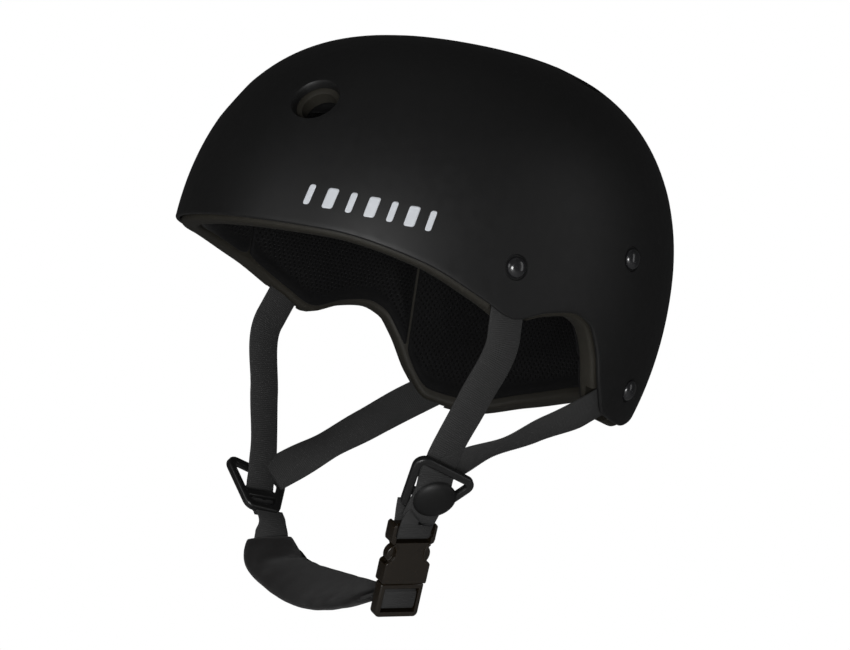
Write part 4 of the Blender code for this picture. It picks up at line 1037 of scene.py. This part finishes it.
@dataclass
class SideHarness:
    """The straps and the divider on one side."""

    side: Side

    @property
    def body(self) -> str:
        """The CAD body that this side's divider rides on."""
        return f"{self.side.word}_straps"

    @property
    def outward(self) -> Vector:
        """The way the divider faces."""
        return divider_frame(self.side).to_3x3() @ Vector((0, 0, 1))

    def point(self, back: float, up: float, out: float) -> Vector:
        """A point in the divider's frame."""
        return divider_frame(self.side) @ Vector((back, up, out))

    def exit_lead(self, rivet: str, exit_name: str) -> tuple[Vector, Vector]:
        """The direction in which a strap leaves the shell, and the way its outer side faces there."""
        route = channel_route(self.side, rivet, exit_name, STRAP_TAIL, 0.0)
        return (route[2][0] - route[1][0]).normalized(), route[2][1]

    def build(self) -> None:
        """Makes the straps, divider and cap."""
        self.front_strap()
        self.rear_strap()
        self.divider()

    def front_strap(self) -> None:
        """From under the front rivet, behind the divider's top bar and out over its cross bar."""
        word = self.side.word
        direction, facing = self.exit_lead("front", "front")
        place = strap_exit(self.side, "front")
        shift, slot = STRAP_SHIFTS[word], TOP_SLOT_LEVELS[word]
        aim = divider_frame(self.side).inverted() @ place
        slope = (aim.x - shift) / (aim.y - slot)
        behind = WEB_BEHIND_DIVIDER - 0.0004
        route = [(0.0100, behind - 0.0100 * STRAP_RISE), (0.0050, behind - 0.0050 * STRAP_RISE),
                 (0.0, behind), (-0.0040, 0.0), (-0.0095, WEB_OVER_DIVIDER)]
        lower = [(self.point(shift + max(rise, 0.0) * slope, slot + rise, out), self.outward)
                 for rise, out in route]
        ends = [CROSS_BAR_LEVEL]
        if self.side is Side.RIGHT:
            ends.append(DIVIDER_EXIT_LEVEL + 0.0010)
        lower += [(self.point(shift, level, WEB_OVER_DIVIDER), self.outward) for level in ends]
        start = channel_route(self.side, "front", "front", STRAP_TAIL, -0.006)
        upper = start + [(place + direction * run, facing) for run in (0.0, 0.0030, 0.0070)]
        middle = (place + direction * 0.012 + lower[0][0]) / 2
        strap = webbing(f"front_webbing_{word}",
                        upper + [(middle, (facing + self.outward * 0.6).normalized())] + lower)
        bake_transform(strap)
        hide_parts(f"front_strap_{word}", f"strap_end_front_{word}")

    def rear_strap(self) -> None:
        """From under the lower rear rivet, twisting, to behind the divider."""
        word = self.side.word
        direction, facing = self.exit_lead("lower_rear", "rear")
        place = strap_exit(self.side, "rear")
        finish = self.point(REAR_STRAP_END[word], 0.0010, REAR_STRAP_DEPTH)
        lead = (place - finish).normalized()
        near, start = finish + lead * 0.012, place + direction * 0.007
        twisted = (self.outward + Vector((0, 0, -1)) * 0.7).normalized()
        upper = channel_route(self.side, "lower_rear", "rear", STRAP_TAIL, -0.006)
        upper += [(place + direction * run, facing) for run in (0.0, 0.0030, 0.0070)]
        strap = webbing(f"rear_webbing_{word}", upper + [
            ((start * 2 + near) / 3, (facing + twisted).normalized()),
            ((start + near * 2) / 3, twisted),
            (near, self.outward), (finish + lead * 0.005, self.outward), (finish, self.outward)])
        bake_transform(strap)
        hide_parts(f"rear_strap_{word}", f"strap_end_rear_{word}")

    def divider(self) -> None:
        """The rounded plastic frame with its cross bar, and the domed cap."""
        word, place, half = self.side.word, divider_frame(self.side), DIVIDER_WALL / 2
        bm = bmesh.new()
        outline = rounded_polygon(DIVIDER_OUTLINE, DIVIDER_CORNER)
        face = bm.faces.new([bm.verts.new((x, y, -half)) for x, y in outline])
        face.normal_update()
        bmesh.ops.inset_individual(bm, faces=[face], thickness=DIVIDER_BAR, use_even_offset=True)
        bmesh.ops.delete(bm, geom=[face], context="FACES_ONLY")
        grown = bmesh.ops.extrude_face_region(bm, geom=bm.faces[:])["geom"]
        top = [g for g in grown if isinstance(g, bmesh.types.BMVert)]
        bmesh.ops.translate(bm, verts=top, vec=(0, 0, DIVIDER_WALL))
        bmesh.ops.recalc_face_normals(bm, faces=bm.faces)
        crisp = [e for e in bm.edges if e.calc_face_angle(0.0) > radians(50)]
        bmesh.ops.bevel(bm, geom=crisp, offset=0.0012, segments=4, profile=0.5, affect="EDGES",
                        clamp_overlap=True, material=-1)
        bmesh.ops.transform(bm, matrix=place, verts=bm.verts)
        prism(bm, box_outline(-0.0168, 0.0093, CROSS_BAR_LEVEL - 0.0024, CROSS_BAR_LEVEL + 0.0024),
              -CROSS_BAR_HALF, CROSS_BAR_HALF, place, rounding=0.0008)
        ring = finish_mesh(f"divider_{word}", bm, PLASTIC)
        attach(ring, self.body, "buckle_black", f"divider_frame_{word}")
        bm = bmesh.new()
        shift = Matrix.Translation((CAP_SHIFTS[word], CROSS_BAR_LEVEL, CAP_SEAT))
        turned(bm, CAP_PROFILE, place @ shift, sides=56)
        cap = finish_mesh(f"cap_{word}", bm, CAP_PLASTIC, sharp=50)
        attach(cap, self.body, "cap_black", f"divider_cap_{word}")


def chin_arc(x: float) -> Vector:
    """The middle of the chin webbing."""
    along = min(max(x / BUCKLE_ALIGN_X, 0.0), 1.0)
    y = CHIN_Y + CHIN_DRIFT * along * along * (3 - 2 * along)
    return Vector((x, y, CHIN_CENTRE[1] - sqrt(CHIN_RADIUS ** 2 - (x - CHIN_CENTRE[0]) ** 2)))


def chin_facing(x: float) -> Vector:
    """The way the chin webbing's outer side faces."""
    radial = Vector((x - CHIN_CENTRE[0], 0, chin_arc(x).z - CHIN_CENTRE[1])).normalized()
    along = (x - PAD_START_X) / (PAD_END_X - PAD_START_X)
    tilt = radians(9) + radians(28) * sin(pi * min(max(along * 0.8 + 0.12, 0.0), 1.0))
    return radial * cos(tilt) + Vector((0, 1, 0)) * sin(tilt)


def arc_points(start: float, end: float, count: int) -> Route:
    """Points of the chin webbing's route."""
    places = [start + (end - start) * i / count for i in range(count + 1)]
    return [(chin_arc(x), chin_facing(x)) for x in places]


@dataclass
class ChinLoop:
    """The lower webbing, the buckle and the chin pad."""

    def build(self) -> None:
        """Makes every piece of it."""
        self.lower_strap()
        self.chin_strap()
        self.buckle_body()
        self.clip()
        self.prongs()
        self.pad()

    def lower_strap(self) -> None:
        """From under the left cap, over the buckle's bar, through its slot and back up behind."""
        side = SideHarness(Side.LEFT)
        shift = STRAP_SHIFTS["left"]
        outward = buckle_frame().to_3x3() @ Vector((0, 0, 1))
        layer = BUCKLE_BAR_HALF_THICKNESS + GAP + WEB_THICKNESS / 2
        points = [(side.point(shift, level, WEB_OVER_DIVIDER), side.outward)
                  for level in (CROSS_BAR_LEVEL - 0.0003, DIVIDER_EXIT_LEVEL, DIVIDER_EXIT_LEVEL - 0.0028)]
        points += [(buckle_point(0, level, layer + lift), outward)
                   for level, lift in ((0.0358, 0.0012), (0.0335, 0.0003), (0.0300, 0.0))]
        turn = [(0.0280, 0.0028, 0.5), (0.0266, 0.0015, 1.5), (0.0262, 0.0, 6.0)]
        points += [(buckle_point(0, level, out), (outward - BUCKLE_AXIS * lean).normalized())
                   for level, out, lean in turn]
        points += [(buckle_point(0, level, -out), (-outward - BUCKLE_AXIS * lean).normalized())
                   for level, out, lean in reversed(turn[:2])]
        points += [(buckle_point(0, level, -layer), -outward) for level in (0.0300, 0.0340)]
        points += [(buckle_point(0.0, 0.0420, -layer - 0.0012), -outward),
                   (buckle_point(0.0, 0.0470, -layer - 0.0016), -outward)]
        strap = webbing("lower_webbing", points)
        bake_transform(strap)
        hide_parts("lower_strap_left")

    def chin_strap(self) -> None:
        """From behind the right front strap, through the pad and round the clip's bar."""
        side = SideHarness(Side.RIGHT)
        shift = STRAP_SHIFTS["right"]
        out = WEB_OVER_DIVIDER - WEB_THICKNESS - 2 * RIB_HEIGHT - 0.0003
        points = [(side.point(shift, DIVIDER_EXIT_LEVEL + rise, out), side.outward)
                  for rise in (0.0030, -0.0030)]
        facing = chin_facing(PAD_START_X)
        points += [(Vector((-0.0755, CHIN_Y + 0.0017, -0.1668)), (side.outward + facing).normalized()),
                   (Vector((-0.0705, CHIN_Y + 0.0004, -0.1762)), facing)]
        points += arc_points(PAD_START_X, CHIN_STRAP_END_X, 8)
        outward = buckle_frame().to_3x3() @ Vector((0, 0, 1))
        up = BUCKLE_AXIS
        lead = CHIN_STRAP_END_X + 0.0020
        points += arc_points(lead, lead + 0.0020, 2)
        loop = ((-0.0140, -0.0060, chin_facing(lead) - up * 0.8), (-0.0150, -0.0028, -up - outward * 0.3),
                (-0.0150, 0.0, outward * 0.2 - up), (-0.0140, 0.0018, outward - up),
                (-0.0115, 0.0023, outward), (-0.0080, 0.0023, outward), (-0.0054, 0.0018, outward + up),
                (-0.0045, 0.0, up), (-0.0054, -0.0018, up - outward), (-0.0080, -0.0023, -outward),
                (-0.0100, -0.0023, -outward))
        points += [(buckle_point(0, level, depth), facing.normalized()) for level, depth, facing in loop]
        strap = webbing("chin_webbing", points)
        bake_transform(strap)
        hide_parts("chin_strap", "clip_loop")

    def buckle_body(self) -> None:
        """The female half: shoulders, round side windows, an end block with a bar."""
        place, wide = buckle_frame(), BUCKLE_HALF_WIDTH
        window = [(0.0152 - 0.0064 * cos(radians(a)), 0.0184 + 0.0064 * sin(radians(a)))
                  for a in range(-68, 69, 17)]
        half = [(wide - 0.0005, GAP), (wide, 0.0010), (wide, 0.0114), *window, (0.0132, 0.0262),
                (0.0132, 0.0340), (0.0122, 0.0351)]
        bm = bmesh.new()
        prism(bm, both_sides(half), -BUCKLE_HALF_THICKNESS, BUCKLE_HALF_THICKNESS, place, rounding=0.0011,
              segments=4)
        body = finish_mesh("buckle_housing", bm, GLOSS_PLASTIC)
        cavity = BUCKLE_CAVITY_HALF
        mouth = both_sides([(0.0118, -0.002), (0.0118, 0.0112), (0.02, 0.0112), (0.02, 0.0228),
                            (0.0078, 0.0228)])
        bar_front = box_outline(-0.0114, 0.0114, 0.0280, 0.0400)
        cuts = ((mouth, -cavity, cavity), (box_outline(-0.0106, 0.0106, 0.0244, 0.0292), -0.01, 0.01),
                (bar_front, BUCKLE_BAR_HALF_THICKNESS, 0.01), (bar_front, -0.01, -BUCKLE_BAR_HALF_THICKNESS))
        for outline, low, high in cuts:
            tool = bmesh.new()
            prism(tool, outline, low, high, place)
            combine(body, tool, "DIFFERENCE")
        bm = bmesh.new()
        bm.from_mesh(body.data)
        for sign in (-1, 1):
            rim = [(sign * (0.0152 - r * cos(radians(a))), 0.0184 + r * sin(radians(a)))
                   for r, angles in ((0.0076, range(-50, 51, 10)), (0.0062, range(50, -51, -10)))
                   for a in angles]
            prism(bm, rim, BUCKLE_HALF_THICKNESS - 0.0008, BUCKLE_HALF_THICKNESS + 0.0005, place,
                  rounding=0.0004, segments=2)
        store(bm, body)
        attach(body, "chin_loop", "buckle_black", "buckle_body")

    def clip(self) -> None:
        """The male half's frame, its webbing bar and its middle guide."""
        place, wide, thick = buckle_frame(), CLIP_HALF_WIDTH, CLIP_HALF_THICKNESS
        half = [(0.0112, -CLIP_LENGTH), (wide - 0.0004, -CLIP_LENGTH + 0.0012),
                (wide, -CLIP_LENGTH + 0.0026), (wide, -GAP)]
        bm = bmesh.new()
        prism(bm, both_sides(half), -thick, thick, place, rounding=0.0010, segments=4)
        clip = finish_mesh("buckle_clip_frame", bm, GLOSS_PLASTIC)
        tool = bmesh.new()
        prism(tool, box_outline(-0.0104, 0.0104, -0.0168, -0.0028), -0.01, 0.01, place)
        combine(clip, tool, "DIFFERENCE")
        bm = bmesh.new()
        bm.from_mesh(clip.data)
        prism(bm, box_outline(-0.0108, 0.0108, -0.0132, -0.0062), -0.0011, 0.0011, place, rounding=0.0005)
        guide = both_sides([(0.0030, -0.0010), (0.0030, 0.0180), (0.0018, 0.0200)])
        prism(bm, guide, -0.0016, 0.0016, place, rounding=0.0004)
        store(bm, clip)
        attach(clip, "buckle_clip", "buckle_black", "buckle_clip")

    def prongs(self) -> None:
        """The two sprung arms with their rounded heads."""
        head = [(0.0086 + 0.0046 * cos(radians(a)), 0.0167 + 0.0055 * sin(radians(a)))
                for a in range(-80, 91, 10)]
        for name, sign in (("front", -1), ("rear", 1)):
            right = [(0.0078, 0.0010), (0.0106, 0.0010), (0.0100, 0.0105), *head, (0.0076, 0.0214),
                     (0.0074, 0.0120)]
            outline = [(x * sign, y) for x, y in right]
            bm = bmesh.new()
            prism(bm, outline, -0.0024, 0.0024, buckle_frame(), rounding=0.0008, segments=3)
            prong = finish_mesh(f"prong_arm_{name}", bm, GLOSS_PLASTIC)
            attach(prong, f"prong_{name}", "buckle_black", f"prong_{name}")

    def pad(self) -> None:
        """The padded sleeve, its hem with a pointed end, and the seam."""
        route = [(Vector((-0.0745, CHIN_Y, -0.1688)), chin_facing(PAD_START_X)),
                 (Vector((-0.0705, CHIN_Y, -0.1762)), chin_facing(PAD_START_X))]
        route += arc_points(PAD_START_X, PAD_END_X, 8)
        sections = sections_along(route, 0.0030)
        half, thick, around = CHIN_PAD_WIDTH / 2, CHIN_PAD_THICKNESS / 2, 36
        outer = []
        for k in range(around):
            angle = 2 * pi * k / around
            c, s = cos(angle), sin(angle)
            outer.append((half * abs(c) ** 0.62 * (1 if c > 0 else -1),
                          thick * abs(s) ** 0.8 * (1 if s > 0 else -1)))
        inner = [(a * 0.0114 / half, t * 0.0018 / thick) for a, t in outer]
        last = len(sections) - 1

        def ends(i: int, a: float, t: float) -> tuple[float, float]:
            left = min(i * 0.003 / 0.016, 1.0)
            right = min((last - i) * 0.003 / 0.010, 1.0)
            width = (0.74 + 0.26 * sin(left * pi / 2)) * (0.86 + 0.14 * sin(right * pi / 2))
            depth = (0.62 + 0.38 * sin(left * pi / 2)) * (0.62 + 0.38 * sin(right * pi / 2))
            return a * width, t * depth

        bm = tube(outer, sections, closed=False, shape=ends)
        hole = tube(inner, sections, closed=False)
        count = len(bm.verts)
        add_mesh(bm, hole)
        bm.verts.ensure_lookup_table()
        edges = [e for e in bm.edges if e.is_boundary]
        first = sections[0][0]
        near = [e for e in edges if (e.verts[0].co - first).length < 0.03]
        far = [e for e in edges if e not in set(near)]
        bmesh.ops.bridge_loops(bm, edges=near)
        bmesh.ops.bridge_loops(bm, edges=far)
        pinned = set(range(count, len(bm.verts)))
        cushion = Cushion("chin_cushion", "chin_pad", ("chin_pad",), "neoprene_black", NEOPRENE, cap=0.0012)
        pad = cushion.fill(bm, pinned)
        self.hem(pad)

    def hem(self, pad: bpy.types.Object) -> None:
        """A flat hem under the pad's front edge, and the stitches above it."""
        route = [(Vector((-0.0772, CHIN_Y - 0.003, -0.1700)), chin_facing(PAD_START_X)),
                 (Vector((-0.0705, CHIN_Y, -0.1762)), chin_facing(PAD_START_X))]
        sections = sections_along(route + arc_points(PAD_START_X, PAD_END_X - 0.004, 8), 0.0025)
        level = CHIN_PAD_THICKNESS / 2 + FLAP_THICKNESS / 2 + 0.0011
        wide = FLAP_WIDTH / 2
        offset = CHIN_PAD_WIDTH / 2 - wide + 0.0040
        outline = [(wide, -0.0003), (wide - 0.0004, FLAP_THICKNESS / 2), (-wide + 0.0004, FLAP_THICKNESS / 2),
                   (-wide, 0.0), (-wide + 0.0004, -FLAP_THICKNESS / 2), (wide - 0.0004, -FLAP_THICKNESS / 2)]

        def pointed(i: int, a: float, t: float) -> tuple[float, float]:
            grow = min((i + 0.3) * 0.0025 / 0.014, 1.0)
            return -offset - wide + (a + wide) * grow + 0.001 * (1 - grow), t * (0.5 + 0.5 * grow) + level

        flap = finish_mesh("chin_pad_hem", tube(outline, sections, shape=pointed), NEOPRENE)
        attach(flap, "chin_pad", "neoprene_black", "chin_pad_flap")
        surface = BVHTree.FromObject(pad, bpy.context.evaluated_depsgraph_get())
        bm = bmesh.new()
        across_at = -(CHIN_PAD_WIDTH / 2 - 0.0058)
        for place, across, through in sections_along(arc_points(-0.050, 0.034, 10), 0.0031):
            start = place + across * across_at + through * 0.02
            spot, normal, _, _ = surface.ray_cast(start, -through)
            if spot is None:
                continue
            ahead = across.cross(through)
            turn = frame_matrix(spot, ahead, normal)
            prism(bm, box_outline(-0.0010, 0.0010, -0.00028, 0.00028), -0.0002, 0.0003, turn,
                  rounding=0.00018, segments=2)
        stitches = finish_mesh("chin_pad_stitches", bm, THREAD)
        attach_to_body(stitches, "chin_pad")


# ---------------------------------------------------------------- studio

@dataclass(frozen=True)
class SoftBox:
    """A large area light aimed at the helmet."""

    name: str
    azimuth: float
    elevation: float
    distance: float
    width: float
    height: float
    power: float

    def build(self) -> None:
        """Places the light."""
        data = bpy.data.lights.new(self.name, "AREA")
        data.shape = "RECTANGLE"
        data.size, data.size_y = self.width, self.height
        data.energy = self.power
        lamp = bpy.data.objects.new(self.name, data)
        bpy.context.scene.collection.objects.link(lamp)
        a, e = radians(self.azimuth), radians(self.elevation)
        away = Vector((sin(a) * cos(e), -cos(a) * cos(e), sin(e)))
        lamp.location = Vector((0, 0, -0.02)) + away * self.distance
        lamp.rotation_euler = (-away).to_track_quat("-Z", "Y").to_euler()


SOFT_BOXES = (
    SoftBox("key", 56, -9, 2.2, 0.8, 0.55, 34.0),
    SoftBox("fill", 8, 4, 2.2, 1.2, 1.2, 9.0),
    SoftBox("rim", 130, 12, 1.8, 0.4, 1.4, 3.0),
    SoftBox("top", 30, 78, 1.9, 1.6, 1.6, 0.8),
)
WORLD_LIGHT = 0.045


def build_floor() -> None:
    """A plain pale floor well below the helmet."""
    bm = bmesh.new()
    bmesh.ops.create_grid(bm, x_segments=1, y_segments=1, size=4.0)
    bmesh.ops.translate(bm, verts=bm.verts, vec=(0, 0, FLOOR_LEVEL))
    floor = finish_mesh("floor", bm, Finish("floor_pale", (0.86, 0.86, 0.86), 0.7, 0.1, mottle=0.01))


def build_world() -> None:
    """White behind the helmet, with little light from round it."""
    world = bpy.data.worlds.new("studio")
    bpy.context.scene.world = world
    world.use_nodes = True
    tree = world.node_tree
    background = tree.nodes["Background"]
    path = tree.nodes.new("ShaderNodeLightPath")
    strength = tree.nodes.new("ShaderNodeMapRange")
    strength.inputs["To Min"].default_value = WORLD_LIGHT
    strength.inputs["To Max"].default_value = 1.0
    tree.links.new(path.outputs["Is Camera Ray"], strength.inputs["Value"])
    tree.links.new(strength.outputs[0], background.inputs["Strength"])
    background.inputs["Color"].default_value = (1, 1, 1, 1)


def build_camera() -> None:
    """The camera, at the helmet's front left and a little below it."""
    scene = bpy.context.scene
    data = bpy.data.cameras.new("camera")
    data.lens, data.sensor_width = CAMERA_LENS, 36.0
    data.clip_end = 50.0
    camera = bpy.data.objects.new("camera", data)
    scene.collection.objects.link(camera)
    rotation = Matrix(CAMERA_AXES).transposed().to_4x4()
    camera.matrix_world = Matrix.Translation(Vector(CAMERA_PLACE)) @ rotation
    scene.camera = camera
    scene.view_settings.view_transform = "Standard"


def dress_frame_nodes() -> None:
    """Gives the washer CAD nodes, which stay in the scene, their steel finish."""
    for name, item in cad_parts.items():
        if name.startswith("washer_"):
            item.material_slots[0].material = STEEL.material()


def main() -> None:
    """Builds the whole scene."""
    logging.basicConfig(level=logging.INFO, format="%(message)s")
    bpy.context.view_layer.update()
    Shell().build()
    build_pads()
    for side in Side:
        SideHarness(side).build()
    ChinLoop().build()
    dress_frame_nodes()
    build_floor()
    build_world()
    for box in SOFT_BOXES:
        box.build()
    build_camera()


if __name__ == "__main__":
    main()
